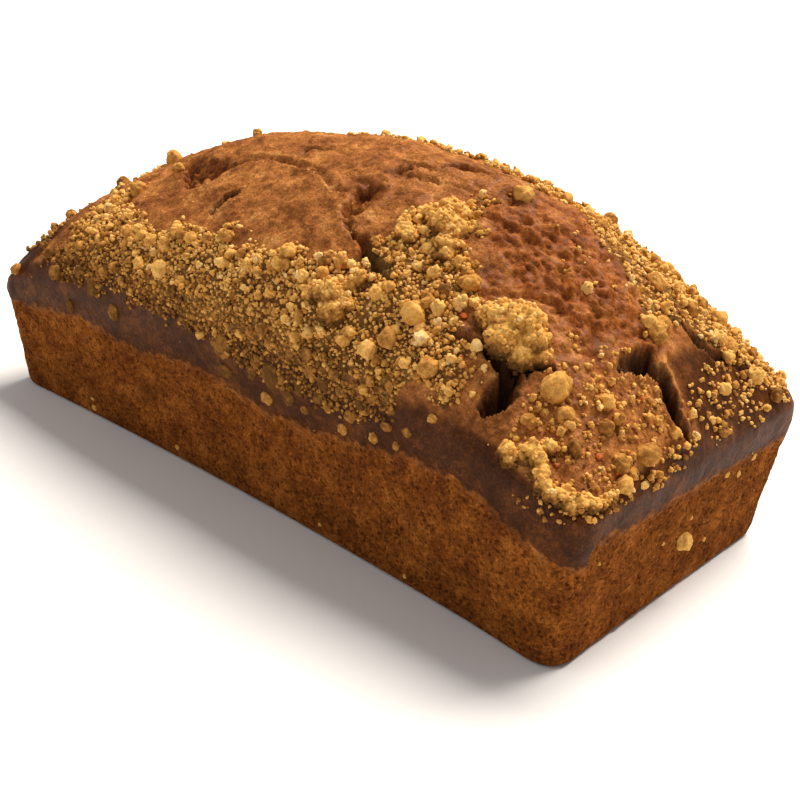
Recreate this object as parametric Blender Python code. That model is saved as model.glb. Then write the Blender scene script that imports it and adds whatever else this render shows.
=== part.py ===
"""A pumpkin bread: a streusel-topped loaf with low flared walls and a tall, cracked crown.

The loaf is one closed solid. Its walls flare from the base to the wall line, a smooth band goes
on up to the shoulder, and the crown rises from the shoulder to a crest. Cracks are cut into the
crown, and the coarser streusel crumbs are fused to it. The berry-sized streusel clumps are solids
of their own, which rest on the crown.

Frame: metres, +Z up, origin at the middle of the base. The length runs along X. The front is at
-Y, and the torn end of the crown is at +X.
"""

import math

import bmesh
import bpy
import numpy as np
from mathutils import Matrix, Vector, noise

MM = 0.001

# Walls: half sizes at the base and at the wall line
BASE_HALF_LENGTH = 100.3 * MM
BASE_HALF_WIDTH = 48.0 * MM
WALL_HALF_LENGTH = 102.2 * MM
WALL_HALF_WIDTH = 52.0 * MM
WALL_HEIGHT = 27.9 * MM
BASE_EDGE_HEIGHT = 2.5 * MM
BASE_EDGE_INSET = 2.0 * MM
CORNER_RADIUS = 7.7 * MM
WAIST = 3.0 * MM
CORNER_SWELL = 0.9 * MM
SWELL_START = 0.75
BAND_BULGE = 0.4 * MM

# Shoulder: half sizes, and its height above the wall line at both ends and in the middle
SHOULDER_HALF_LENGTH = 103.0 * MM
SHOULDER_HALF_WIDTH = 51.8 * MM
SHOULDER_LEFT = 3.1 * MM
SHOULDER_RIGHT = 9.8 * MM
SHOULDER_MIDDLE = 11.0 * MM

# Crown: its rise above the wall line, and how full its two profiles are
CROWN_RISE = 61.1 * MM
CREST_SHIFT = 0.14
LENGTH_POWER = 1.79
WIDTH_POWER = 1.20
CREST_SOFTNESS = 0.12
FULLNESS_LEFT = 0.42
FULLNESS_RIGHT = 0.81
FULLNESS_WIDTH = 0.47

# Limits that keep a place inside the crown's outline
CROWN_LIMIT = 0.999
SLOPE_STEP = 0.4 * MM
FRONT_LIMIT = 0.98
FRONT_SEARCH_STEPS = 24

# Grid of the crown: divisions along the length and across, and how much they crowd the edge
DIVISIONS_LENGTH = 48
DIVISIONS_WIDTH = 30
EDGE_CROWDING = 0.75

# Broad lumps of the crown: x, y, height and radius in millimetres
LUMPS = (
    (-33, -12, 2.6, 11),
    (-46, -14, 1.4, 9),
    (-66, -34, -1.6, 10),
    (-84, -34, 1.2, 9),
    (3, -24, 0.8, 14),
    (52, -14, 1.4, 12),
    (74, -12, 1.6, 9),
    (62, 2, 1.2, 8),
    (67, -43, 1.4, 7),
    (86, -30, 1.2, 9),
    (92, 8, 1.0, 8),
    (-8, 20, 1.2, 14),
    (-60, 22, 1.0, 16),
    (40, 26, 1.2, 14),
)

# Cracks: x, y, width and depth in millimetres at each point of the route
CRACKS = {
    "split_under_clump": (
        (59, -41, 0.8, 1.5), (66, -40.5, 1.4, 3), (71, -40, 2.4, 5),
        (75, -42, 4.4, 8), (75.5, -45.5, 3.6, 7), (75, -48.5, 1.2, 2),
    ),
    "end_split": (
        (85.5, -18, 1, 2), (87.5, -12.5, 2.4, 4), (90.5, -8, 4.6, 7),
        (94.5, -5.5, 4.4, 7), (98, -6, 2.6, 4), (101, -6.5, 0.8, 1),
    ),
    "flank_crack": (
        (83, 5, 1, 1.5), (86, 10, 2.2, 3.5), (90, 14, 1.6, 3),
        (92, 23, 1.2, 2.5), (94, 33, 0.8, 1),
    ),
    "torn_recess": (
        (-48, -25, 2, 1.5), (-41, -29, 4.6, 4), (-33, -26.5, 4, 3.5), (-24, -21.5, 1.2, 1),
    ),
    "short_crack": ((-25.5, -37, 1, 1), (-23, -34, 2.6, 3), (-21, -30.5, 1, 1)),
    "crest_crack": (
        (12.5, -19, 1, 1), (19, -27, 2.6, 2.5), (19, -32, 3.2, 3.5),
        (27, -37, 2, 3), (34, -38.5, 1.6, 2.5), (42, -39.5, 0.8, 1),
    ),
    "top_crack": ((15, -16.5, 1, 1), (20, -11, 2, 2), (26, -6, 2, 2), (34, -0.5, 1, 1)),
    "back_crack": (
        (-40, 26, 1, 1), (-26, 31, 2.6, 3), (-10, 29, 3, 3.5), (6, 33, 2, 2.5), (18, 30, 1, 1),
    ),
}
CUTTER_ABOVE = 5.0 * MM
CRACK_FLOOR_SHARE = 0.35
CUTTER_FLARE = 1.6

# Where the streusel lies: centre and radii of ellipsoids in millimetres
STREUSEL_PATCHES = (
    (-68, -40, 50, 22, 14, 12),
    (-30, -48, 55, 34, 9, 12),
    (14, -48, 56, 34, 9, 13),
    (42, -30, 74, 19, 14, 11),
    (52, -46, 60, 17, 8, 11),
    (92, -27, 50, 14, 25, 12),
    (72, 24, 64, 28, 20, 16),
    (20, 14, 86, 60, 9, 6),
    (-20, 46, 57, 62, 10, 13),
    (-84, 8, 55, 14, 34, 12),
)

# Large crumbs of the crown: x, y and radius in millimetres
CROWN_CRUMBS = (
    (83, -35.6, 3.4), (87.4, -37.6, 2.0), (90.1, -27.2, 1.7), (93.1, -31.1, 1.7), (92.1, -40.5, 1.9),
    (98.3, -32.7, 2.2), (99.2, -23.7, 2.8), (100.8, -0.8, 2.4), (100.6, -34, 2.2), (101.4, 8, 1.6),
    (82.4, -44.4, 1.7), (84.9, -2.2, 2.8), (83.7, -3.4, 2.0), (84.2, 2.6, 1.8), (86.5, -2.4, 1.8),
    (75.8, 11.5, 2.3), (81.9, 19.4, 1.9), (80.2, 29, 1.8), (83.3, 33.5, 2.3), (90, 27.3, 2.4),
    (91.8, 38, 1.8), (100.2, 37, 2.2), (96.6, 30.7, 2.0), (96.8, 14, 1.7), (59.5, 10.6, 1.8),
    (54.7, -31.6, 2.4), (47, -3.8, 2.4), (48.6, -42.2, 2.7), (37.8, -43.2, 1.6), (38.1, -41.6, 1.6),
    (39.9, -40.8, 1.6), (51.6, -35.8, 1.7), (9.4, -42.2, 2.2), (24.4, -40.6, 1.7), (20.2, -40.9, 1.9),
    (8.5, -44.6, 1.9), (16.7, -44.6, 1.9), (-12.6, -42.6, 2.0), (-24, -44.2, 1.8), (-30.3, -43, 1.8),
    (-49.2, -44.4, 1.9), (-38.7, -45.3, 1.9), (-66.3, -28, 2.6), (-57.7, -21.2, 1.9), (-44, -4.3, 1.7),
    (-78, -6, 2.6), (-84, 14, 2.4), (-86, -18, 2.2), (52, 27, 2.8), (30, 34, 2.6), (8, 37, 3.0),
    (-16, 36, 2.4), (-38, 38, 2.8),
)

# Large crumbs of the front shoulder and the band below it: x, height and radius in millimetres
FRONT_CRUMBS = (
    (46.3, 58.6, 2.6), (42.4, 55.7, 2.1), (58.3, 56.3, 2.5), (-29.3, 55, 2.3), (35.4, 56, 1.6),
    (20.6, 57.5, 1.6), (-73, 42, 2.2), (-61.4, 45, 1.9), (-56, 43, 2.2), (-47, 38, 2.3),
    (-93.6, 37, 1.7), (-3.5, 42.5, 3.2), (14.5, 40.5, 2.9), (24, 40.5, 1.8), (31.5, 45, 1.7),
    (26.4, 50.5, 1.8), (35, 48, 1.7), (10.5, 50.8, 1.7), (7.5, 39.5, 1.7),
)

# Scattered crumbs: how many are fused, from the largest radius to the smallest, and the spacing
CRUMB_COUNT = 74
CRUMB_TRIES = 400
COVER_LEAST = 0.05
CRACK_CLEARANCE = 1.2
CRUMB_RADIUS_MAX = 2.0 * MM
CRUMB_RADIUS_MIN = 1.3 * MM
CRUMB_SPACING = 1.9
CRUMB_SEED = 31
CRUMB_EDGE = 0.97
CRUMB_RAISED = 0.15
CRUMB_PROUD = 0.7
PRESSED_SLOPE = 0.4
CRUMB_ROUGHNESS = 0.16

# Clumps: the lobes of each, as x, y, height above the crown and radius in millimetres
CLUMPS = {
    "clump_torn_end": (
        (66.1, -34.4, 1.5, 4.5), (69.9, -32.3, 2.2, 5.0), (73.4, -33.1, 1.5, 4.0),
        (69.1, -37, 1.2, 4.3), (73.8, -36.6, 0.7, 3.3), (63.5, -35.3, 0.9, 3.1), (76.4, -33.6, 0.3, 2.6),
    ),
    "clump_crest": (
        (40.5, -24, 1.2, 3.8), (38.3, -20, 0.8, 3.3), (41.7, -19.8, 0.8, 2.8), (36.2, -22.8, 0.6, 2.8),
        (43.6, -23.6, 0.8, 3.0), (44.3, -27.3, 0.6, 2.9), (45.7, -29.3, 0.4, 2.0),
        (32.8, -23.2, 0.4, 1.9), (30.8, -25, 0.4, 1.7), (31.2, -27.2, 0.4, 1.8),
        (32.9, -29.6, 0.5, 2.6), (35.2, -29.9, 0.5, 2.1),
    ),
    "clump_front": (
        (28, -45.6, 1.0, 4.0), (30, -47.5, 0.8, 3.5), (31.8, -46.2, 0.6, 2.6), (24.8, -45.9, 0.8, 2.9),
        (21.8, -47, 0.6, 2.1), (30, -43.9, 0.6, 2.5), (31.2, -41.9, 0.5, 2.3),
    ),
    "clump_corner": (
        (82.3, -49.9, 0.5, 2.0), (83.9, -50.4, 0.4, 1.7), (85.3, -49.2, 0.5, 1.6),
        (86.7, -47.6, 0.7, 2.2), (88.6, -45.4, 0.6, 2.1), (88.8, -48.1, 0.7, 2.0),
        (90.6, -49.2, 0.6, 2.0), (92.2, -50.2, 0.5, 1.9), (94, -50.4, 0.5, 1.9),
        (95.8, -50, 0.6, 2.0), (97.4, -49, 0.6, 2.0), (99.2, -50.2, 0.5, 1.9), (100.4, -50.6, 0.3, 1.4),
        (99.8, -47.4, 0.6, 1.9), (100.6, -45, 0.5, 1.7), (101.2, -42.8, 0.4, 1.6),
        (101.2, -41, 0.4, 1.5), (101, -39.4, 0.4, 1.6),
    ),
}
CLUMP_GAP = 0.45 * MM
CLUMP_CLEARANCE = 1.2 * MM
LOBE_ROUGHNESS = 0.13
FINE_LOBE_RADIUS = 3.7 * MM
LUMP_SCALE = 260.0
MERGE_DISTANCE = 0.02 * MM
SLIVER_LENGTH = 0.01 * MM
SMOOTH_ANGLE = 40.0

CRUST_BROWN = (0.24, 0.09, 0.03, 1.0)
STREUSEL_GOLD = (0.58, 0.32, 0.10, 1.0)


def clear_scene():
    """Remove every object of the open scene."""
    for old in list(bpy.data.objects):
        bpy.data.objects.remove(old, do_unlink=True)


def food_material(name, color, roughness):
    """Return a matt food material of one colour."""
    material = bpy.data.materials.new(name)
    material.use_nodes = True
    shader = material.node_tree.nodes["Principled BSDF"]
    shader.inputs["Base Color"].default_value = color
    shader.inputs["Roughness"].default_value = roughness
    shader.inputs["Metallic"].default_value = 0.0
    return material


def new_object(name, vertices, faces, material=None):
    """Return a new object with the given mesh, linked to the scene."""
    mesh = bpy.data.meshes.new(name)
    mesh.from_pydata([tuple(vertex) for vertex in vertices], [], faces)
    mesh.update()
    obj = bpy.data.objects.new(name, mesh)
    bpy.context.scene.collection.objects.link(obj)
    if material:
        mesh.materials.append(material)
    return obj


def rounded_outline(half_length, half_width, radius, u, v):
    """Map a point of the unit square into a rectangle whose corners round off towards its edge."""
    reach = max(abs(u), abs(v))
    if reach < 1e-9:
        return 0.0, 0.0
    radius = radius * reach ** 4
    x = abs(u) / reach * half_length
    y = abs(v) / reach * half_width
    corner_x = (x - (half_length - radius)) / radius
    corner_y = (y - (half_width - radius)) / radius
    if corner_x > 0.0 and corner_y > 0.0:
        pull = max(corner_x, corner_y) / math.hypot(corner_x, corner_y)
        x = half_length - radius + radius * corner_x * pull
        y = half_width - radius + radius * corner_y * pull
    return math.copysign(reach * x, u), math.copysign(reach * y, v)


def soft_power(value, power):
    """Raise a value from 0 to 1 to a power, with the sharp turn at 0 rounded off."""
    low = CREST_SOFTNESS ** power
    high = (1.0 + CREST_SOFTNESS ** 2) ** (power / 2)
    return ((value ** 2 + CREST_SOFTNESS ** 2) ** (power / 2) - low) / (high - low)


def shoulder_rise(u):
    """Return the shoulder's height above the wall line at a place along the length."""
    share = (u + 1.0) / 2.0
    return SHOULDER_LEFT * (1.0 - share) + SHOULDER_RIGHT * share + SHOULDER_MIDDLE * (1.0 - u * u)


def crown_share(u, v):
    """Return the crown's rise at a place of the unit square, as a share of its full rise."""
    along = u - CREST_SHIFT * (1.0 - u * u)
    blend = (max(-1.0, min(1.0, along)) + 1.0) / 2.0
    fullness = FULLNESS_LEFT + (FULLNESS_RIGHT - FULLNESS_LEFT) * blend
    rise_length = max(0.0, 1.0 - soft_power(along, LENGTH_POWER)) ** fullness
    rise_width = max(0.0, 1.0 - soft_power(v, WIDTH_POWER)) ** FULLNESS_WIDTH
    return rise_length * rise_width


def lump_rise(x, y):
    """Return how far the broad lumps raise or lower the crown at a place."""
    total = 0.0
    for lump_x, lump_y, height, radius in LUMPS:
        distance = math.hypot(x / MM - lump_x, y / MM - lump_y)
        total += height * MM * math.exp(-((distance / radius) ** 2))
    return total


def crown_point(u, v):
    """Return the crown's point at a place of the unit square."""
    x, y = rounded_outline(SHOULDER_HALF_LENGTH, SHOULDER_HALF_WIDTH, CORNER_RADIUS, u, v)
    rise = shoulder_rise(u)
    share = crown_share(u, v)
    lumps = lump_rise(x, y) * min(1.0, 2.0 * share)
    return Vector((x, y, WALL_HEIGHT + rise + (CROWN_RISE - rise) * share + lumps))


def wall_point(u, v, level):
    """Return the wall's point at a place of the square's edge, level 0 at the base, 1 on top."""
    half_length = BASE_HALF_LENGTH + (WALL_HALF_LENGTH - BASE_HALF_LENGTH) * level
    half_width = BASE_HALF_WIDTH + (WALL_HALF_WIDTH - BASE_HALF_WIDTH) * level
    x, y = rounded_outline(half_length, half_width, CORNER_RADIUS, u, v)
    swell_along = max(0.0, (u - SWELL_START) / (1.0 - SWELL_START))
    swell_across = max(0.0, (-v - SWELL_START) / (1.0 - SWELL_START))
    swell = swell_along * swell_across * (1.0 - level)
    x += 0.5 * swell * CORNER_SWELL
    y -= swell * CORNER_SWELL
    y *= 1.0 - WAIST * max(0.0, 1.0 - u * u) / WALL_HALF_WIDTH
    return Vector((x, y, BASE_EDGE_HEIGHT + (WALL_HEIGHT - BASE_EDGE_HEIGHT) * level))


def crowded(step, steps):
    """Return the grid's value from -1 to 1 at a step, with the steps crowded near both ends."""
    even = 2.0 * step / steps - 1.0
    return EDGE_CROWDING * math.sin(even * math.pi / 2) + (1.0 - EDGE_CROWDING) * even


def border_steps(columns, rows):
    """Return the grid's border, counter-clockwise seen from above, as pairs of steps."""
    front = [(i, 0) for i in range(columns)]
    right = [(columns, j) for j in range(rows)]
    back = [(columns - i, rows) for i in range(columns)]
    left = [(0, rows - j) for j in range(rows)]
    return front + right + back + left


def loaf_mesh():
    """Return the vertices and faces of the plain loaf, closed, before cracks and crumbs."""
    columns, rows = DIVISIONS_LENGTH, DIVISIONS_WIDTH
    vertices = []
    index = {}
    for i in range(columns + 1):
        for j in range(rows + 1):
            index[i, j] = len(vertices)
            vertices.append(crown_point(crowded(i, columns), crowded(j, rows)))
    faces = []
    for i in range(columns):
        for j in range(rows):
            faces.append((index[i, j], index[i + 1, j], index[i + 1, j + 1], index[i, j + 1]))

    border = border_steps(columns, rows)
    upper = [index[step] for step in border]
    places = [(crowded(i, columns), crowded(j, rows)) for i, j in border]
    band = []
    for (u, v), top in zip(places, upper):
        middle = (wall_point(u, v, 1.0) + vertices[top]) / 2.0
        outward = Vector((middle.x / SHOULDER_HALF_LENGTH, middle.y / SHOULDER_HALF_WIDTH, 0.0))
        band.append(middle + outward.normalized() * BAND_BULGE)
    rings = [band]
    for level in (1.0, 0.5, 0.0):
        rings.append([wall_point(u, v, level) for u, v in places])
    inner = []
    for u, v in places:
        edge = wall_point(u, v, 0.0)
        inset = Vector((edge.x / BASE_HALF_LENGTH, edge.y / BASE_HALF_WIDTH, 0.0)).normalized()
        inner.append(Vector((edge.x, edge.y, 0.0)) - inset * BASE_EDGE_INSET)
    rings.append(inner)

    for ring in rings:
        lower = list(range(len(vertices), len(vertices) + len(ring)))
        vertices.extend(ring)
        for k in range(len(ring)):
            after = (k + 1) % len(ring)
            faces.append((upper[k], lower[k], lower[after], upper[after]))
        upper = lower
    faces.append(tuple(reversed(upper)))
    return vertices, faces


def crown_height(x, y):
    """Return the crown's height over a place given in metres."""
    u = max(-CROWN_LIMIT, min(CROWN_LIMIT, x / SHOULDER_HALF_LENGTH))
    v = max(-CROWN_LIMIT, min(CROWN_LIMIT, y / SHOULDER_HALF_WIDTH))
    return crown_point(u, v).z


def crown_normal(x, y):
    """Return the crown's outward direction over a place given in metres."""
    step = SLOPE_STEP
    slope_x = (crown_height(x + step, y) - crown_height(x - step, y)) / (2 * step)
    slope_y = (crown_height(x, y + step) - crown_height(x, y - step)) / (2 * step)
    return Vector((-slope_x, -slope_y, 1.0)).normalized()


def front_point(x, z):
    """Return the point of the front face at a length and a height given in metres."""
    u = max(-FRONT_LIMIT, min(FRONT_LIMIT, x / SHOULDER_HALF_LENGTH))
    edge = crown_point(u, -1.0)
    wall = wall_point(u, -1.0, 1.0)
    if z <= edge.z:
        share = (z - wall.z) / (edge.z - wall.z)
        return wall.lerp(edge, share), Vector((0.0, -1.0, 0.1)).normalized()
    low, high = -1.0, 0.0
    for _ in range(FRONT_SEARCH_STEPS):
        middle = (low + high) / 2.0
        if crown_point(u, middle).z < z:
            low = middle
        else:
            high = middle
    point = crown_point(u, low)
    return point, crown_normal(point.x, point.y)


def crack_cutter(name, route):
    """Return a closed wedge that follows a route over the crown, for cutting one crack."""
    points = [Vector((x * MM, y * MM, 0.0)) for x, y, _, _ in route]
    sections = []
    for k, (x, y, width, depth) in enumerate(route):
        ahead = points[min(k + 1, len(points) - 1)] - points[max(k - 1, 0)]
        side = Vector((-ahead.y, ahead.x, 0.0)).normalized() * width * MM / 2.0
        height = crown_height(x * MM, y * MM)
        top = Vector((0.0, 0.0, height + CUTTER_ABOVE))
        floor = Vector((0.0, 0.0, height - depth * MM))
        place = points[k]
        sections.append([
            place + side * CUTTER_FLARE + top,
            place + side * CRACK_FLOOR_SHARE + floor,
            place - side * CRACK_FLOOR_SHARE + floor,
            place - side * CUTTER_FLARE + top,
        ])
    vertices = [corner for section in sections for corner in section]
    faces = [(0, 1, 2, 3)]
    for k in range(len(sections) - 1):
        for c in range(4):
            a, b = 4 * k + c, 4 * k + (c + 1) % 4
            faces.append((a, a + 4, b + 4, b))
    last = 4 * (len(sections) - 1)
    faces.append((last + 3, last + 2, last + 1, last))
    cutter = new_object(name, vertices, faces)
    face_outward(cutter)
    return cutter


def face_outward(obj):
    """Turn all faces of a closed mesh outwards."""
    mesh = bmesh.new()
    mesh.from_mesh(obj.data)
    bmesh.ops.recalc_face_normals(mesh, faces=mesh.faces)
    mesh.to_mesh(obj.data)
    mesh.free()


def rough_ball(name, centre, radius, roughness, subdivisions, seed):
    """Return a closed, uneven ball: an icosphere with each corner moved by smooth noise."""
    mesh = bmesh.new()
    bmesh.ops.create_icosphere(mesh, subdivisions=subdivisions, radius=radius)
    turn = Matrix.Rotation(seed * 1.7, 3, Vector((math.sin(seed), math.cos(seed), 0.6)))
    for vertex in mesh.verts:
        offset = noise.noise(vertex.co * LUMP_SCALE + Vector((seed, 2.0 * seed, 0.0)))
        vertex.co = turn @ (vertex.co * (1.0 + roughness * 2.0 * offset)) + centre
    data = bpy.data.meshes.new(name)
    mesh.to_mesh(data)
    mesh.free()
    obj = bpy.data.objects.new(name, data)
    bpy.context.scene.collection.objects.link(obj)
    return obj


def combine(obj, tools, operation):
    """Join or cut an object with a collection of closed tools, then remove the tools."""
    group = bpy.data.collections.new(obj.name + "_tools")
    bpy.context.scene.collection.children.link(group)
    for tool in tools:
        tool.hide_render = True
        tool.display_type = "WIRE"
        bpy.context.scene.collection.objects.unlink(tool)
        group.objects.link(tool)
    modifier = obj.modifiers.new("combine", "BOOLEAN")
    modifier.operation = operation
    modifier.operand_type = "COLLECTION"
    modifier.collection = group
    modifier.solver = "EXACT"
    bpy.context.view_layer.update()
    result = bpy.data.meshes.new_from_object(obj.evaluated_get(bpy.context.evaluated_depsgraph_get()))
    obj.modifiers.remove(modifier)
    obj.data = result
    for tool in tools:
        bpy.data.objects.remove(tool, do_unlink=True)
    bpy.data.collections.remove(group)


def tidy_mesh(obj):
    """Triangulate a mesh, merge its near points and keep its largest closed shell."""
    mesh = bmesh.new()
    mesh.from_mesh(obj.data)
    bmesh.ops.remove_doubles(mesh, verts=mesh.verts, dist=MERGE_DISTANCE)
    bmesh.ops.dissolve_degenerate(mesh, dist=SLIVER_LENGTH, edges=mesh.edges)
    bmesh.ops.triangulate(mesh, faces=mesh.faces)
    mesh.verts.ensure_lookup_table()
    unseen = set(mesh.verts)
    shells = []
    while unseen:
        stack = [unseen.pop()]
        shell = set(stack)
        while stack:
            for edge in stack.pop().link_edges:
                for vertex in edge.verts:
                    if vertex in unseen:
                        unseen.remove(vertex)
                        shell.add(vertex)
                        stack.append(vertex)
        shells.append(shell)
    shells.sort(key=len, reverse=True)
    for scrap in shells[1:]:
        bmesh.ops.delete(mesh, geom=list(scrap), context="VERTS")
    mesh.to_mesh(obj.data)
    mesh.free()


def shade_round(obj, angle_degrees):
    """Shade an object smooth, with sharp edges above an angle."""
    obj.data.shade_smooth()
    obj.data.set_sharp_from_angle(angle=math.radians(angle_degrees))


def streusel_cover(point):
    """Return how deep inside the streusel a point lies, above 0 inside and below 0 outside."""
    best = -1.0
    for x, y, z, radius_x, radius_y, radius_z in STREUSEL_PATCHES:
        reach = ((point.x / MM - x) / radius_x) ** 2
        reach += ((point.y / MM - y) / radius_y) ** 2
        reach += ((point.z / MM - z) / radius_z) ** 2
        best = max(best, 1.0 - reach)
    return best


def clump_lobes():
    """Return the centre and radius of every lobe of every clump, by the clump's name."""
    lobes = {}
    for name, rows in CLUMPS.items():
        lobes[name] = []
        for x, y, height, radius in rows:
            foot = Vector((x * MM, y * MM, crown_height(x * MM, y * MM)))
            centre = foot + crown_normal(foot.x, foot.y) * height * MM
            lobes[name].append((centre, radius * MM))
    return lobes


def clear_of_clumps(point, radius, lobes):
    """Return whether a crumb stays clear of every clump."""
    for rows in lobes.values():
        for centre, lobe_radius in rows:
            needed = lobe_radius * (1.0 + LOBE_ROUGHNESS) + radius + CLUMP_CLEARANCE
            if (point - centre).length < needed:
                return False
    return True


def clear_of_cracks(point):
    """Return whether a crumb's place lies clear of every crack."""
    for route in CRACKS.values():
        for x, y, width, _ in route:
            if math.hypot(point.x / MM - x, point.y / MM - y) < width / 2.0 + CRACK_CLEARANCE:
                return False
    return True


def named_crumbs(lobes):
    """Return the centre and radius of the large crumbs that are set by hand."""
    crumbs = []
    for x, y, radius in CROWN_CRUMBS:
        point = Vector((x * MM, y * MM, crown_height(x * MM, y * MM)))
        raised = crown_normal(point.x, point.y) * CRUMB_RAISED * radius * MM
        crumbs.append((point + raised, radius * MM))
    for x, z, radius in FRONT_CRUMBS:
        point, outward = front_point(x * MM, z * MM)
        raised = CRUMB_PROUD - radius if outward.z < PRESSED_SLOPE else CRUMB_RAISED * radius
        crumbs.append((point + outward * raised * MM, radius * MM))
    return [crumb for crumb in crumbs if clear_of_clumps(crumb[0], crumb[1], lobes)]


def clear_of_crumbs(centre, radius, crumbs):
    """Return whether a crumb keeps its spacing from all the other crumbs."""
    return all((centre - other).length > CRUMB_SPACING * (radius + size) for other, size in crumbs)


def scattered_crumbs(lobes, placed):
    """Return evenly spread crumbs on the streusel patches, the largest first."""
    random_source = np.random.default_rng(CRUMB_SEED)
    crumbs = []
    for number in range(CRUMB_COUNT):
        share = number / (CRUMB_COUNT - 1)
        radius = CRUMB_RADIUS_MAX + (CRUMB_RADIUS_MIN - CRUMB_RADIUS_MAX) * share
        for _ in range(CRUMB_TRIES):
            angle = random_source.uniform(-1.0, 1.0, 2)
            u, v = math.sin(angle[0] * math.pi / 2), math.sin(angle[1] * math.pi / 2)
            point = crown_point(u, v)
            if streusel_cover(point) < COVER_LEAST or not clear_of_cracks(point):
                continue
            if max(abs(u), abs(v)) > CRUMB_EDGE or not clear_of_clumps(point, radius, lobes):
                continue
            centre = point + crown_normal(point.x, point.y) * CRUMB_RAISED * radius
            if clear_of_crumbs(centre, radius, placed + crumbs):
                crumbs.append((centre, radius))
                break
    return crumbs


def build_loaf(crust, lobes):
    """Build the loaf with its cracks and its fused crumbs."""
    vertices, faces = loaf_mesh()
    loaf = new_object("loaf", vertices, faces, crust)
    cutters = [crack_cutter("crack_" + name, route) for name, route in CRACKS.items()]
    combine(loaf, cutters, "DIFFERENCE")
    placed = named_crumbs(lobes)
    crumbs = placed + scattered_crumbs(lobes, placed)
    balls = []
    for number, (centre, radius) in enumerate(crumbs):
        balls.append(rough_ball("crumb_%03d" % number, centre, radius, CRUMB_ROUGHNESS, 1, number))
    combine(loaf, balls, "UNION")
    tidy_mesh(loaf)
    shade_round(loaf, SMOOTH_ANGLE)
    return loaf


def seat_cutter():
    """Return the plain loaf grown by the gap, which cuts each clump's seat."""
    vertices, faces = loaf_mesh()
    cutter = new_object("seat", vertices, faces)
    mesh = bmesh.new()
    mesh.from_mesh(cutter.data)
    mesh.normal_update()
    moves = [(vertex, vertex.normal.copy()) for vertex in mesh.verts]
    for vertex, outward in moves:
        vertex.co += outward * CLUMP_GAP
    mesh.to_mesh(cutter.data)
    mesh.free()
    return cutter


def build_clump(name, lobes, streusel, seed):
    """Build one clump from its lobes, and cut its seat to the crown."""
    balls = []
    for number, (centre, radius) in enumerate(lobes):
        ball_name = "%s_lobe_%d" % (name, number)
        subdivisions = 2 if radius > FINE_LOBE_RADIUS else 1
        ball = rough_ball(ball_name, centre, radius, LOBE_ROUGHNESS, subdivisions, seed + number)
        balls.append(ball)
    clump = balls[0]
    clump.name = name
    clump.data.materials.append(streusel)
    combine(clump, balls[1:], "UNION")
    combine(clump, [seat_cutter()], "DIFFERENCE")
    tidy_mesh(clump)
    shade_round(clump, SMOOTH_ANGLE)
    return clump


def main():
    """Build the whole pumpkin bread."""
    clear_scene()
    crust = food_material("baked_crust", CRUST_BROWN, 0.75)
    streusel = food_material("baked_streusel", STREUSEL_GOLD, 0.85)
    lobes = clump_lobes()
    build_loaf(crust, lobes)
    for number, name in enumerate(CLUMPS):
        build_clump(name, lobes[name], streusel, 100 + 20 * number)


main()
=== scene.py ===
"""Pumpkin bread: a streusel-topped loaf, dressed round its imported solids.

The loaf's outside is one continuous surface. Its crown carries the cracks, folds and pores of
the crust, and its walls are the bare sponge that stood against the tin. Streusel lies on it in
fine, medium and coarse crumbs, and in four clumps as large as berries.
"""

import itertools
import logging
import math
from dataclasses import dataclass, field
from enum import Enum

import bmesh
import bpy
import numpy as np
from mathutils import Matrix, Vector


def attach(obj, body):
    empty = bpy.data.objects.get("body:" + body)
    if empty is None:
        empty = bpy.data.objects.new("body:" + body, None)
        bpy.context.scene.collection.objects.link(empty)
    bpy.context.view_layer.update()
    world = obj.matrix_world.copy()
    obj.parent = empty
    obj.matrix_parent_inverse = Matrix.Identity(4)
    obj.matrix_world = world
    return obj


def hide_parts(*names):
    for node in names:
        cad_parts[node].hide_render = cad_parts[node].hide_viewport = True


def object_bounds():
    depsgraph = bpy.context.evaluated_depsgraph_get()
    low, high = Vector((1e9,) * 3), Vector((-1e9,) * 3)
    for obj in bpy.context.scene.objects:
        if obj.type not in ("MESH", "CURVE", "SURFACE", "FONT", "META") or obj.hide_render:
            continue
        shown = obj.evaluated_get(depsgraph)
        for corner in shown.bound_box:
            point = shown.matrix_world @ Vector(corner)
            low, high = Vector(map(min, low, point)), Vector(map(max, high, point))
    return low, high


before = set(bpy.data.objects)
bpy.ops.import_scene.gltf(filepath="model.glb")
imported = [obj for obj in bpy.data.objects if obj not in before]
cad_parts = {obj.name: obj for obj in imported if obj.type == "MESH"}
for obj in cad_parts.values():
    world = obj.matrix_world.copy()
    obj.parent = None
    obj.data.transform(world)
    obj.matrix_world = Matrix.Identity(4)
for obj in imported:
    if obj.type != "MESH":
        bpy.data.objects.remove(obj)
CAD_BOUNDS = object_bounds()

MM = 0.001
BODY = "root"
LOAF_SLOT = "baked_loaf"
STREUSEL_SLOT = "streusel"
SHARES = ("sponge", "skin", "stain", "torn", "hollow")
LOAF_SEED = 11

log = logging.getLogger("pumpkin_bread")


def linear(code: str) -> tuple[float, float, float, float]:
    """Turn an sRGB hex value into a linear colour.

    Args:
        code: Six hex digits, with or without a hash sign.

    Returns:
        The linear red, green and blue, and an alpha of 1.
    """
    digits = code.lstrip("#")
    channels = []
    for start in (0, 2, 4):
        value = int(digits[start:start + 2], 16) / 255.0
        channels.append(value / 12.92 if value <= 0.04045 else ((value + 0.055) / 1.055) ** 2.4)
    return channels[0], channels[1], channels[2], 1.0


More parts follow.
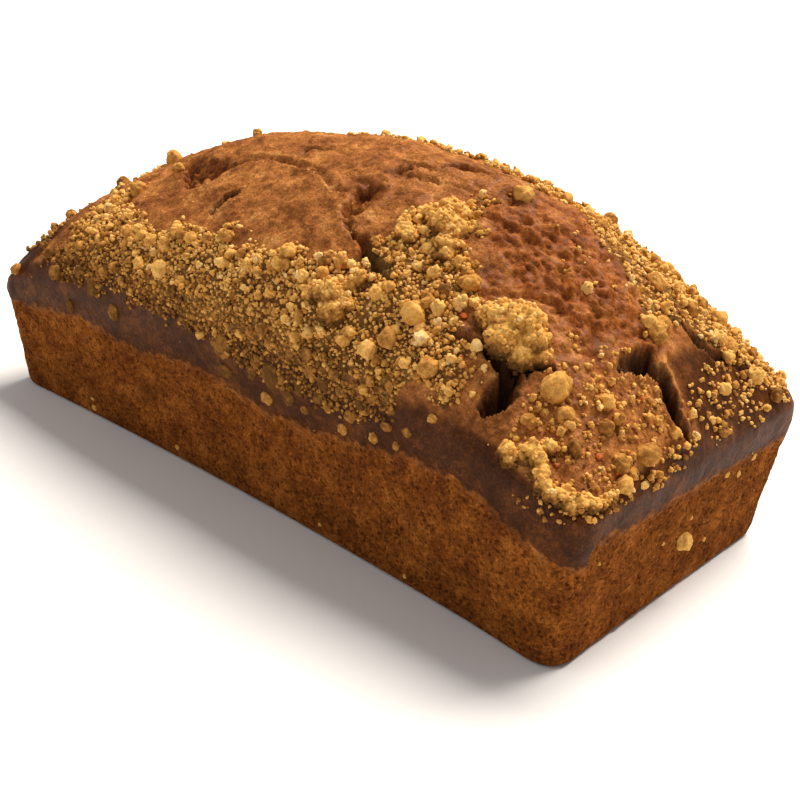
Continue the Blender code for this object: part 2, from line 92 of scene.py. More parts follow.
def add_node(tree: bpy.types.NodeTree, kind: str, settings: dict | None = None,
             inputs: dict | None = None) -> bpy.types.Node:
    """Add a node to a tree, with its settings, values and links.

    Args:
        tree: The tree that gets the node.
        kind: The node's type name.
        settings: Attributes to set. The key stops fills a colour ramp with (place, hex) pairs.
        inputs: What each input gets, by name or number: a value, or a socket to link from.

    Returns:
        The new node.
    """
    node = tree.nodes.new(kind)
    for name, value in (settings or {}).items():
        if name != "stops":
            setattr(node, name, value)
            continue
        elements = node.color_ramp.elements
        while len(elements) < len(value):
            elements.new(0.5)
        for element, (place, code) in zip(elements, value):
            element.position = place
            element.color = linear(code)
    for key, value in (inputs or {}).items():
        if isinstance(value, bpy.types.NodeSocket):
            tree.links.new(value, node.inputs[key])
        else:
            node.inputs[key].default_value = value
    return node


def add_noise(tree: bpy.types.NodeTree, place: bpy.types.NodeSocket, size: float, detail: float,
              roughness: float) -> bpy.types.Node:
    """Add a noise texture.

    Args:
        tree: The tree that gets the node.
        place: The socket that gives the place.
        size: The pattern's size in millimetres.
        detail: How many finer patterns are added.
        roughness: How strong the finer patterns are.

    Returns:
        The new node.
    """
    return add_node(tree, "ShaderNodeTexNoise", {}, {
        "Vector": place, "Scale": 1.0 / (size * MM), "Detail": detail, "Roughness": roughness})


def add_math(tree: bpy.types.NodeTree, operation: str, *values: float | bpy.types.NodeSocket,
             clamp: bool = False) -> bpy.types.NodeSocket:
    """Add a calculation.

    Args:
        tree: The tree that gets the node.
        operation: The calculation's name.
        values: Up to three numbers or sockets.
        clamp: Whether the result is kept between 0 and 1.

    Returns:
        The result's socket.
    """
    return add_node(tree, "ShaderNodeMath", {"operation": operation, "use_clamp": clamp},
                    dict(enumerate(values))).outputs[0]


def add_swing(tree: bpy.types.NodeTree, value: bpy.types.NodeSocket, amount: float) -> bpy.types.NodeSocket:
    """Add a calculation that makes a value from 0 to 1 swing about 0 by half the amount."""
    return add_math(tree, "MULTIPLY_ADD", value, amount, -amount / 2.0)


def add_range(tree: bpy.types.NodeTree, value: bpy.types.NodeSocket, start: tuple[float, float],
              end: tuple[float, float], smooth: bool = False) -> bpy.types.NodeSocket:
    """Add a node that maps one range of values to another.

    Args:
        tree: The tree that gets the node.
        value: The socket that gives the value.
        start: The range that the value comes from.
        end: The range that it goes to.
        smooth: Whether the change starts and ends gently.

    Returns:
        The result's socket.
    """
    kind = "SMOOTHSTEP" if smooth else "LINEAR"
    return add_node(tree, "ShaderNodeMapRange", {"interpolation_type": kind}, {
        "Value": value, "From Min": start[0], "From Max": start[1],
        "To Min": end[0], "To Max": end[1]}).outputs["Result"]


def add_mix(tree: bpy.types.NodeTree, factor: bpy.types.NodeSocket, first: bpy.types.NodeSocket,
            second: bpy.types.NodeSocket | tuple) -> bpy.types.NodeSocket:
    """Add a mix of two colours.

    Args:
        tree: The tree that gets the node.
        factor: The second colour's share.
        first: The first colour.
        second: The second colour.

    Returns:
        The result's socket.
    """
    return add_node(tree, "ShaderNodeMix", {"data_type": "RGBA"}, {
        0: factor, 6: first, 7: second}).outputs[2]


def new_material(name: str, values: dict) -> tuple[bpy.types.Material, bpy.types.Node]:
    """Make a material.

    Args:
        name: The material's name.
        values: Its shader's plain values, by name.

    Returns:
        The material and its shader.
    """
    material = bpy.data.materials.new(name)
    material.use_nodes = True
    shader = material.node_tree.nodes["Principled BSDF"]
    for key, value in values.items():
        shader.inputs[key].default_value = value
    return material, shader


def unit_ball(subdivisions: int) -> tuple[np.ndarray, np.ndarray]:
    """Return the points and the triangles of a ball with a radius of 1.

    Args:
        subdivisions: How finely the ball is divided.

    Returns:
        The points, and three point numbers for each triangle.
    """
    ball = bmesh.new()
    bmesh.ops.create_icosphere(ball, subdivisions=subdivisions, radius=1.0)
    points = np.array([vertex.co[:] for vertex in ball.verts])
    faces = np.array([[vertex.index for vertex in face.verts] for face in ball.faces])
    ball.free()
    return points, faces


def read_vectors(items: bpy.types.bpy_prop_collection, key: str) -> np.ndarray:
    """Return one vector of every item in a mesh's list.

    Args:
        items: The list, such as the vertices.
        key: The vector's name.

    Returns:
        Vectors, three numbers to a row.
    """
    flat = np.zeros(len(items) * 3)
    items.foreach_get(key, flat)
    return flat.reshape(-1, 3)


@dataclass(frozen=True)
class Noise:
    """Seeded noise in space, worked out for many points at once."""

    seed: int

    def hashed(self, cells: np.ndarray, salt: int) -> np.ndarray:
        """Return a 30 bit hash of each whole-numbered cell.

        Args:
            cells: Cell numbers, three to a row.
            salt: A number that tells one pattern from another.

        Returns:
            One whole number for each row.
        """
        mask = 0xFFFFFFFF
        cell = cells.astype(np.int64)
        code = (cell[:, 0] * 73856093) ^ (cell[:, 1] * 19349663) ^ (cell[:, 2] * 83492791)
        code = (code ^ ((self.seed * 7919 + salt * 104729) * 668265263)) & mask
        for _ in range(2):
            code = ((code ^ (code >> 16)) * 0x45D9F3B) & mask
        return (code ^ (code >> 16)) & 0x3FFFFFFF

    def smooth(self, points: np.ndarray, wavelength: float, salt: int = 0) -> np.ndarray:
        """Return smooth noise between about -1 and 1.

        Args:
            points: Points in millimetres, three to a row.
            wavelength: The pattern's size in millimetres.
            salt: A number that tells one pattern from another.

        Returns:
            One value for each point.
        """
        grid = points / wavelength
        cell = np.floor(grid)
        part = grid - cell
        ease = part ** 3 * (part * (part * 6.0 - 15.0) + 10.0)
        total = np.zeros(len(points))
        for corner in itertools.product((0, 1), repeat=3):
            step = np.array(corner)
            code = self.hashed(cell + step, salt)
            offset = part - step
            weight = np.prod(np.where(step == 1, ease, 1.0 - ease), axis=1)
            slope = ((code & 1023) / 511.5 - 1.0) * offset[:, 0]
            slope += (((code >> 10) & 1023) / 511.5 - 1.0) * offset[:, 1]
            slope += (((code >> 20) & 1023) / 511.5 - 1.0) * offset[:, 2]
            total += weight * slope
        return total * 1.6

    def rough(self, points: np.ndarray, wavelength: float, octaves: int, salt: int = 0) -> np.ndarray:
        """Return noise of several sizes added up, each half as large as the one before.

        Args:
            points: Points in millimetres, three to a row.
            wavelength: The largest pattern's size in millimetres.
            octaves: How many patterns are added.
            salt: A number that tells one pattern from another.

        Returns:
            One value for each point.
        """
        total = np.zeros(len(points))
        for step in range(octaves):
            total += self.smooth(points, wavelength / 2 ** step, salt + 31 * step) / 2 ** step
        return total

    def cells(self, points: np.ndarray, size: float, salt: int = 0) -> tuple[np.ndarray, np.ndarray]:
        """Return how far each point lies from the nearest of a set of scattered spots.

        Args:
            points: Points in millimetres, three to a row.
            size: The mean distance between the spots in millimetres.
            salt: A number that tells one pattern from another.

        Returns:
            The distance in sizes, and a random share from 0 to 1 that belongs to the spot.
        """
        grid = points / size
        cell = np.floor(grid)
        nearest = np.full(len(points), 9.0)
        share = np.zeros(len(points))
        for corner in itertools.product((-1, 0, 1), repeat=3):
            place = cell + np.array(corner)
            code = self.hashed(place, salt)
            spot = place + np.stack([code & 1023, (code >> 10) & 1023, code >> 20], axis=1) / 1023.0
            distance = np.linalg.norm(grid - spot, axis=1)
            closer = distance < nearest
            nearest = np.where(closer, distance, nearest)
            share = np.where(closer, ((code * 40503) & 0xFFFF) / 65535.0, share)
        return nearest, share


def step_up(value: np.ndarray, low: float, high: float) -> np.ndarray:
    """Return 0 below the low value, 1 above the high one, and a smooth rise between them."""
    share = np.clip((value - low) / (high - low), 0.0, 1.0)
    return share * share * (3.0 - 2.0 * share)


def vertex_normals(points: np.ndarray, quads: np.ndarray) -> tuple[np.ndarray, np.ndarray]:
    """Return the outward direction at each point, and the area that it stands for.

    Args:
        points: Points, three numbers to a row.
        quads: Point numbers, four to a row, counter-clockwise seen from outside.

    Returns:
        A unit vector for each point, and its area.
    """
    across = points[quads[:, 2]] - points[quads[:, 0]]
    along = points[quads[:, 3]] - points[quads[:, 1]]
    faces = np.cross(across, along) / 2.0
    area = np.linalg.norm(faces, axis=1)
    count = len(points)
    corners = quads.ravel()
    normals = np.stack(
        [np.bincount(corners, np.repeat(faces[:, axis], 4), count) for axis in range(3)], axis=1)
    lengths = np.linalg.norm(normals, axis=1, keepdims=True)
    return normals / np.maximum(lengths, 1e-12), np.bincount(corners, np.repeat(area / 4.0, 4), count)


def relax(points: np.ndarray, quads: np.ndarray, chosen: np.ndarray, rounds: int) -> np.ndarray:
    """Move the chosen points towards the middle of their neighbours.

    Args:
        points: Points, three numbers to a row.
        quads: Point numbers, four to a row.
        chosen: How strongly each point moves, from 0 to 1.
        rounds: How often they move.

    Returns:
        The moved points.
    """
    starts = quads.ravel()
    ends = np.roll(quads, -1, axis=1).ravel()
    count = len(points)
    weight = np.maximum(np.bincount(starts, minlength=count) + np.bincount(ends, minlength=count), 1)
    moved = points.copy()
    for _ in range(rounds):
        for axis in range(3):
            total = np.bincount(starts, moved[ends, axis], count)
            total += np.bincount(ends, moved[starts, axis], count)
            moved[:, axis] += 0.5 * chosen * (total / weight - moved[:, axis])
    return moved


def make_object(name: str, points: np.ndarray, faces: list, material: bpy.types.Material,
                shares: dict[str, np.ndarray] | None = None) -> bpy.types.Object:
    """Make a smooth-shaded mesh object.

    Args:
        name: The piece's name.
        points: Points in millimetres, three to a row.
        faces: Point numbers of each face.
        material: The piece's material.
        shares: Values to keep on the points, by name.

    Returns:
        The object, linked to the scene.
    """
    mesh = bpy.data.meshes.new(name)
    mesh.from_pydata((points * MM).tolist(), [], faces)
    for key, values in (shares or {}).items():
        layer = mesh.attributes.new(key, "FLOAT", "POINT")
        layer.data.foreach_set("value", np.ascontiguousarray(values, dtype=np.float32))
    mesh.shade_smooth()
    mesh.materials.append(material)
    mesh.update()
    piece = bpy.data.objects.new(name, mesh)
    bpy.context.scene.collection.objects.link(piece)
    return piece


def hand_over(piece: bpy.types.Object, slot: str, *nodes: str) -> None:
    """Let a piece ride on the bread, log its slot, and let it stand for CAD nodes.

    Args:
        piece: The finished piece.
        slot: The material slot that is logged for it.
        nodes: The CAD nodes that it replaces.
    """
    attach(piece, BODY)
    if nodes:
        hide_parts(*nodes)
    log.info("%s: %d faces, slot %s, stands for %s", piece.name, len(piece.data.polygons), slot,
             ", ".join(nodes) or "no node")


@dataclass(frozen=True)
class LoafForm:
    """The loaf's plain form: flared walls, a smooth band and a tall crown, in millimetres."""

    base_half_length: float = 100.3
    base_half_width: float = 48.0
    wall_half_length: float = 102.2
    wall_half_width: float = 52.0
    wall_height: float = 27.9
    base_edge_height: float = 2.5
    base_edge_inset: float = 2.0
    corner_radius: float = 7.7
    waist: float = 3.0
    corner_swell: float = 0.9
    swell_start: float = 0.75
    shoulder_half_length: float = 103.0
    shoulder_half_width: float = 51.8
    shoulder_left: float = 3.1
    shoulder_right: float = 9.8
    shoulder_middle: float = 11.0
    crown_rise: float = 61.1
    crest_shift: float = 0.14
    length_power: float = 1.79
    width_power: float = 1.20
    crest_softness: float = 0.12
    fullness_left: float = 0.42
    fullness_right: float = 0.81
    fullness_width: float = 0.47
    band_bulge: float = 0.4
    lumps: tuple[tuple[float, float, float, float], ...] = (
        (-33, -12, 2.6, 11), (-46, -14, 1.4, 9), (-66, -34, -1.6, 10), (-84, -34, 1.2, 9),
        (3, -24, 0.8, 14), (52, -14, 1.4, 12), (74, -12, 1.6, 9), (62, 2, 1.2, 8),
        (67, -43, 1.4, 7), (86, -30, 1.2, 9), (92, 8, 1.0, 8), (-8, 20, 1.2, 14),
        (-60, 22, 1.0, 16), (40, 26, 1.2, 14),
    )

    def outline(self, half_length: np.ndarray | float, half_width: np.ndarray | float,
                u: np.ndarray, v: np.ndarray) -> tuple[np.ndarray, np.ndarray]:
        """Map points of the unit square into a rectangle with rounded corners.

        Args:
            half_length: Half the rectangle's length.
            half_width: Half its width.
            u: Places along the length, from -1 to 1.
            v: Places across, from -1 to 1.

        Returns:
            The x and y of each point.
        """
        reach = np.maximum(np.maximum(np.abs(u), np.abs(v)), 1e-9)
        radius = self.corner_radius * reach ** 4
        x = np.abs(u) / reach * half_length
        y = np.abs(v) / reach * half_width
        corner_x = (x - (half_length - radius)) / radius
        corner_y = (y - (half_width - radius)) / radius
        round_off = (corner_x > 0.0) & (corner_y > 0.0)
        pull = np.where(round_off, np.maximum(corner_x, corner_y)
                        / np.maximum(np.hypot(corner_x, corner_y), 1e-9), 1.0)
        x = np.where(round_off, half_length - radius + radius * corner_x * pull, x)
        y = np.where(round_off, half_width - radius + radius * corner_y * pull, y)
        return np.copysign(reach * x, u), np.copysign(reach * y, v)

    def soft_power(self, value: np.ndarray, power: float) -> np.ndarray:
        """Raise a value from 0 to 1 to a power, with the sharp turn at 0 rounded off."""
        low = self.crest_softness ** power
        high = (1.0 + self.crest_softness ** 2) ** (power / 2)
        return ((value ** 2 + self.crest_softness ** 2) ** (power / 2) - low) / (high - low)

    def lump_rise(self, x: np.ndarray, y: np.ndarray) -> np.ndarray:
        """Return how far the broad lumps raise or lower the crown."""
        total = np.zeros_like(x)
        for lump_x, lump_y, height, radius in self.lumps:
            total += height * np.exp(-((x - lump_x) ** 2 + (y - lump_y) ** 2) / radius ** 2)
        return total

    def crown(self, u: np.ndarray, v: np.ndarray) -> np.ndarray:
        """Return the crown's points at places of the unit square.

        Args:
            u: Places along the length, from -1 to 1.
            v: Places across, from -1 to 1.

        Returns:
            Points, three numbers to a row.
        """
        x, y = self.outline(self.shoulder_half_length, self.shoulder_half_width, u, v)
        side = (u + 1.0) / 2.0
        rise = self.shoulder_left * (1.0 - side) + self.shoulder_right * side
        rise = rise + self.shoulder_middle * (1.0 - u * u)
        along = u - self.crest_shift * (1.0 - u * u)
        blend = (np.clip(along, -1.0, 1.0) + 1.0) / 2.0
        fullness = self.fullness_left + (self.fullness_right - self.fullness_left) * blend
        share = np.maximum(0.0, 1.0 - self.soft_power(along, self.length_power)) ** fullness
        share = share * np.maximum(
            0.0, 1.0 - self.soft_power(v, self.width_power)) ** self.fullness_width
        lumps = self.lump_rise(x, y) * np.minimum(1.0, 2.0 * share)
        z = self.wall_height + rise + (self.crown_rise - rise) * share + lumps
        return np.stack([x, y, z], axis=1)

    def wall(self, u: np.ndarray, v: np.ndarray, level: float) -> np.ndarray:
        """Return the wall's points at places of the square's edge.

        Args:
            u: Places along the length, from -1 to 1.
            v: Places across, from -1 to 1.
            level: 0 at the base's edge, 1 at the wall line.

        Returns:
            Points, three numbers to a row.
        """
        half_length = self.base_half_length + (self.wall_half_length - self.base_half_length) * level
        half_width = self.base_half_width + (self.wall_half_width - self.base_half_width) * level
        x, y = self.outline(half_length, half_width, u, v)
        swell = np.maximum(0.0, (u - self.swell_start) / (1.0 - self.swell_start))
        swell = swell * np.maximum(0.0, (-v - self.swell_start) / (1.0 - self.swell_start))
        swell = swell * (1.0 - level) * self.corner_swell
        x = x + 0.5 * swell
        y = (y - swell) * (1.0 - self.waist * np.maximum(0.0, 1.0 - u * u) / self.wall_half_width)
        z = self.base_edge_height + (self.wall_height - self.base_edge_height) * level
        return np.stack([x, y, np.full_like(x, z)], axis=1)

    def over(self, x: np.ndarray, y: np.ndarray) -> np.ndarray:
        """Return the crown's points over places in millimetres."""
        limit = 0.999
        u = np.clip(np.asarray(x, float) / self.shoulder_half_length, -limit, limit)
        v = np.clip(np.asarray(y, float) / self.shoulder_half_width, -limit, limit)
        return self.crown(u, v)

    def outward(self, x: np.ndarray, y: np.ndarray) -> np.ndarray:
        """Return the crown's outward directions over places in millimetres."""
        step = 0.4
        slope_x = (self.over(x + step, y)[:, 2] - self.over(x - step, y)[:, 2]) / (2.0 * step)
        slope_y = (self.over(x, y + step)[:, 2] - self.over(x, y - step)[:, 2]) / (2.0 * step)
        normal = np.stack([-slope_x, -slope_y, np.ones_like(slope_x)], axis=1)
        return normal / np.linalg.norm(normal, axis=1, keepdims=True)


class GrooveKind(Enum):
    """How a line in the crust was made: its flat floor, and its share of sway, lips and painted shade."""

    SPLIT = (0.5, 1.2, 0.8, 1.0)
    TEAR = (0.1, 1.2, 0.5, 0.42)
    FOLD = (0.05, 0.7, 0.5, 0.25)

    def __init__(self, floor: float, sway: float, lips: float, dark: float) -> None:
        """Keep the measures by name.

        Args:
            floor: How much of the half width is flat floor.
            sway: How strongly the line wanders.
            lips: How high its lips are.
            dark: How dark the painted shade on its floor is.
        """
        self.floor = floor
        self.sway = sway
        self.lips = lips
        self.dark = dark


@dataclass(frozen=True)
class Groove:
    """A line in the crust: a route over the crown, with a width and a depth at each point."""

    kind: GrooveKind
    route: tuple[tuple[float, float, float, float], ...]

    def press(self, x: np.ndarray, y: np.ndarray) -> tuple[np.ndarray, np.ndarray, np.ndarray]:
        """Return what the groove does to the crust at each place.

        Args:
            x: Places along the length in millimetres.
            y: Places across in millimetres.

        Returns:
            The depth in mm, the share from 0 outside to 1 at the floor for painted shade and torn crust, and
            the lip.
        """
        depth = np.zeros_like(x)
        share = np.zeros_like(x)
        lip = np.zeros_like(x)
        for first, second in zip(self.route, self.route[1:]):
            along_x, along_y = second[0] - first[0], second[1] - first[1]
            length = max(along_x ** 2 + along_y ** 2, 1e-6)
            t = np.clip(((x - first[0]) * along_x + (y - first[1]) * along_y) / length, 0.0, 1.0)
            distance = np.hypot(x - first[0] - t * along_x, y - first[1] - t * along_y)
            half = np.maximum((first[2] + (second[2] - first[2]) * t) / 2.0, 0.15)
            deep = first[3] + (second[3] - first[3]) * t
            profile = 1.0 - step_up(distance / half, self.kind.floor, 1.1)
            depth = np.maximum(depth, deep * profile)
            # dark spreads the groove's painted shade a little past its edge, darker where the groove is
            # deeper
            dark = 1.0 - step_up(distance / half, 0.75, 1.5)
            share = np.maximum(share, np.maximum(profile * np.clip(deep / 2.0, 0.0, 1.0),
                                                 dark * np.clip(deep / 4.0, 0.0, 1.0)))
            crest = np.exp(-((distance - half * 1.35) / 0.8) ** 2)
            lip = np.maximum(lip, crest * np.minimum(1.0, deep / 3.0))
        return depth, share, lip


SPLIT, TEAR, FOLD = GrooveKind.SPLIT, GrooveKind.TEAR, GrooveKind.FOLD

GROOVES = (
    Groove(SPLIT, ((59, -41.6, 0.8, 1.2), (62, -41.2, 1.6, 2.5), (66.5, -40.1, 2.2, 4), (70.9, -40.1, 3.0, 6),
                   (73.4, -40.8, 4.4, 8), (75.2, -43, 5.0, 9), (74.4, -45.2, 4.6, 8), (74, -47.4, 2.8, 4),
                   (74.5, -49, 1.0, 1.0))),
    Groove(SPLIT, ((72, -39.6, 2.4, 5), (75.3, -37, 3.2, 6), (78.4, -34.3, 2.2, 4), (80.5, -32.5, 0.8, 1))),
    Groove(SPLIT, ((86.8, -17.5, 1.2, 2), (87.5, -12.5, 3.2, 5), (89, -9, 4.8, 8), (91.5, -7.5, 5.2, 9),
                   (94.5, -8.2, 5.0, 9), (96.5, -9.2, 4.0, 7), (98.6, -7.6, 2.4, 4),
                   (100.2, -7.6, 1.0, 1.5))),
    Groove(SPLIT, ((82, 4, 1.2, 2), (84.4, 7.5, 2.2, 2.6), (87.6, 10.7, 2.6, 3.2), (90, 13.5, 2.2, 2.8),
                   (91.5, 19, 1.6, 2), (94, 28, 1.4, 1.8), (96, 35.5, 1.0, 1.5))),
    Groove(TEAR, ((-54, -20, 5.0, 1.6), (-49, -23, 8.5, 3.2), (-42.5, -26, 8.5, 3.8),
                  (-37.5, -25.4, 7.0, 3.2), (-33.5, -23.4, 2.6, 2.0), (-29, -20.5, 1.2, 0.8))),
    Groove(SPLIT, ((-22.8, -37.6, 1.0, 1.0), (-23.4, -35, 2.2, 2.8), (-23, -32.6, 3.0, 4.0),
                   (-21.8, -30.6, 1.6, 2.0), (-21, -29, 0.8, 0.6))),
    Groove(TEAR, ((11.5, -20.5, 3.0, 1.0), (14.4, -22, 6.5, 2.2), (16, -25.5, 7.5, 2.6),
                  (16.6, -29, 6.0, 2.2), (18.6, -32.6, 2.0, 2.0), (22.5, -34, 1.4, 2.0),
                  (26, -35, 2.6, 3.6), (29.4, -36.8, 2.8, 4.2), (33.4, -38.2, 2.6, 3.8),
                  (37.4, -38.7, 2.0, 3.2), (41.4, -39.1, 1.2, 1.5))),
    Groove(TEAR, ((15, -16.5, 2.0, 0.8), (20, -11, 3.4, 1.4), (25, -7, 1.6, 1.4), (29.5, -2.5, 2.4, 2.4),
                   (33, -1.6, 2.2, 2.0), (38, 1.5, 1.0, 0.8))),
    Groove(SPLIT, ((-40, 26, 1, 1), (-26, 31, 2.6, 3), (-10, 29, 3, 3.5), (6, 33, 2, 2.5), (18, 30, 1, 1))),
    Groove(TEAR, ((43, -6.5, 2.0, 0.8), (44.8, -4.6, 3.4, 1.6), (46.5, -8, 3.0, 1.4), (48, -11, 1.0, 0.8))),
    Groove(FOLD, ((-29, -20, 1.6, 0.8), (-24, -18, 2.2, 1.3), (-16, -18.4, 2.0, 1.2), (-8, -20, 1.6, 0.8),
                  (0, -22.4, 1.6, 0.5))),
    Groove(FOLD, ((-6, -19, 1.6, 0.6), (2, -23, 3.0, 1.5), (7, -25, 2.6, 1.3), (12, -25, 1.6, 0.5))),
    Groove(FOLD, ((-17, -17, 2, 0.6), (-16, -12, 2.6, 1.1), (-10, -11, 2.2, 0.9), (-2, -12, 1.6, 0.4))),
    Groove(FOLD, ((16, -17, 1.4, 0.5), (22, -13.5, 2.2, 1.3), (29, -12, 2, 1.1), (38, -10, 1.4, 0.5))),
    Groove(FOLD, ((14, -11, 1.4, 0.6), (22, -8.5, 2, 1.4), (28, -5, 2, 1.4), (37, 1, 2, 1.2),
                  (44, 7, 1.4, 0.5))),
    Groove(FOLD, ((40, -18, 1.4, 0.5), (48, -15.5, 2.2, 1.2), (56, -15, 1.8, 0.8), (62, -13, 1.4, 0.4))),
    Groove(FOLD, ((54, -35, 1, 0.6), (58, -32, 1.6, 1.1), (66, -25, 1.8, 1.2), (72, -21, 1.2, 0.6))),
    Groove(FOLD, ((63, 6, 1.2, 0.6), (68, 6, 1.8, 1.2), (73, 5, 1.4, 0.8), (79, 2, 1.2, 0.5))),
    Groove(FOLD, ((-57, -23, 1.8, 0.8), (-55, -17, 2.6, 1.6), (-51, -12, 2.2, 1.2), (-44, -8, 1.6, 0.6))),
    Groove(FOLD, ((-70, 30, 2, 0.8), (-52, 24, 2.8, 1.5), (-34, 20, 2, 0.8))),
    Groove(FOLD, ((24, 22, 2, 0.8), (44, 28, 3, 1.6), (62, 34, 2, 0.8))),
    Groove(FOLD, ((-88, -6, 1.6, 0.6), (-82, 8, 2.6, 1.3), (-84, 22, 1.6, 0.6))),
)

FRONT_UPPER_EDGE = (
    (-98, 41), (-92, 44), (-82, 52), (-76, 58), (-70, 63), (-62, 61), (-53, 61), (-40, 61),
    (-34, 63), (-31, 66), (-25, 65), (-20, 64), (-11, 69), (-6, 66), (-1, 67), (8, 68), (13, 67),
    (19, 70), (25, 70), (28, 71), (31, 77), (36, 83), (43, 83), (47, 79), (52, 74), (57, 71),
    (61, 66), (66, 58), (72, 54),
)
FRONT_LOWER_EDGE = (
    (-98, 38), (-92, 38), (-76, 40), (-61, 43), (-52, 42), (-40, 45), (-31, 43), (-15, 45),
    (-8, 43), (0, 40), (12, 38), (24, 38), (38, 39), (48, 41), (54, 47), (58, 54), (72, 53),
)
END_PLATE = (
    (80, -52), (81.5, -46), (78.5, -41), (79, -36), (79, -30), (76, -25), (84, -20), (88, -14),
    (93, -10), (99, -7), (104, -4), (104, -46), (102, -51), (94, -53),
)
FAR_FLANK = (
    (54, 12), (62, 3), (70, 2), (79, 3), (83, -3), (85, 8), (89, 16), (92, 25), (97, 35),
    (101, 42), (98, 50), (80, 51), (60, 50), (48, 40), (46, 24),
)
FAR_PATCHES = (
    (20, 14, 86, 62, 8, 6, 0.75), (-20, 46, 57, 70, 10, 15, 0.9), (-84, 8, 55, 13, 34, 13, 0.6),
    (-60, 14, 76, 18, 10, 8, 0.45), (30, 40, 66, 40, 12, 12, 0.7), (96, 18, 45, 9, 26, 12, 0.28),
    (60, -46, 54, 12, 8, 8, 0.22), (66, -8, 76, 12, 9, 8, 0.10), (-90, -30, 44, 12, 18, 10, 0.25),
)
WALL_LINE = (
    (-103, 27), (-94, 28), (-64, 32), (-52, 30), (-36, 30), (-14, 33), (2, 31), (12, 29), (25, 30),
    (41, 33), (56, 36), (71, 37), (85, 32), (95, 28), (103, 27),
)


def inside(polygon: tuple[tuple[float, float], ...], x: np.ndarray, y: np.ndarray) -> np.ndarray:
    """Return which places lie inside a polygon."""
    found = np.zeros(len(x), dtype=bool)
    for (x0, y0), (x1, y1) in zip(polygon, polygon[1:] + polygon[:1]):
        if y0 == y1:
            continue
        crosses = (y0 > y) != (y1 > y)
        found ^= crosses & (x < (x1 - x0) * (y - y0) / (y1 - y0) + x0)
    return found


def streusel_cover(points: np.ndarray, noise: Noise) -> np.ndarray:
    """Return how thickly streusel lies at each point of the loaf, from 0 to 1.

    Args:
        points: Points in millimetres, three to a row.
        noise: The noise that frays the patches' edges.

    Returns:
        One share for each point.
    """
    sway = np.stack([noise.rough(points, 8.0, 4, 900 + axis) for axis in range(3)], axis=1) * 3.4
    x, y, z = (points + sway).T
    upper = np.interp(x, *np.array(FRONT_UPPER_EDGE, float).T)
    lower = np.interp(x, *np.array(FRONT_LOWER_EDGE, float).T)
    front = step_up(z - lower, -1.5, 1.5) * step_up(upper - z, -1.0, 1.0) * (points[:, 1] < -10.0)
    front = front * step_up(x, -82.0, -68.0) * (1.0 - step_up(x, 66.0, 72.0))
    cover = front
    cover = np.maximum(cover, 0.45 * inside(END_PLATE, x, y))
    cover = np.maximum(cover, 0.8 * inside(FAR_FLANK, x, y))
    for centre_x, centre_y, centre_z, size_x, size_y, size_z, amount in FAR_PATCHES:
        reach = ((x - centre_x) / size_x) ** 2 + ((y - centre_y) / size_y) ** 2
        reach += ((z - centre_z) / size_z) ** 2
        cover = np.maximum(cover, amount * (1.0 - step_up(reach, 0.75, 1.1)))
    cover = cover * (0.58 + 0.42 * step_up(noise.rough(points, 5.5, 2, 930), -0.35, 0.25))
    cover = cover * step_up(points[:, 2] + 0.4 * sway[:, 2], 36.5, 39.5)
    return np.clip(cover, 0.0, 1.0)


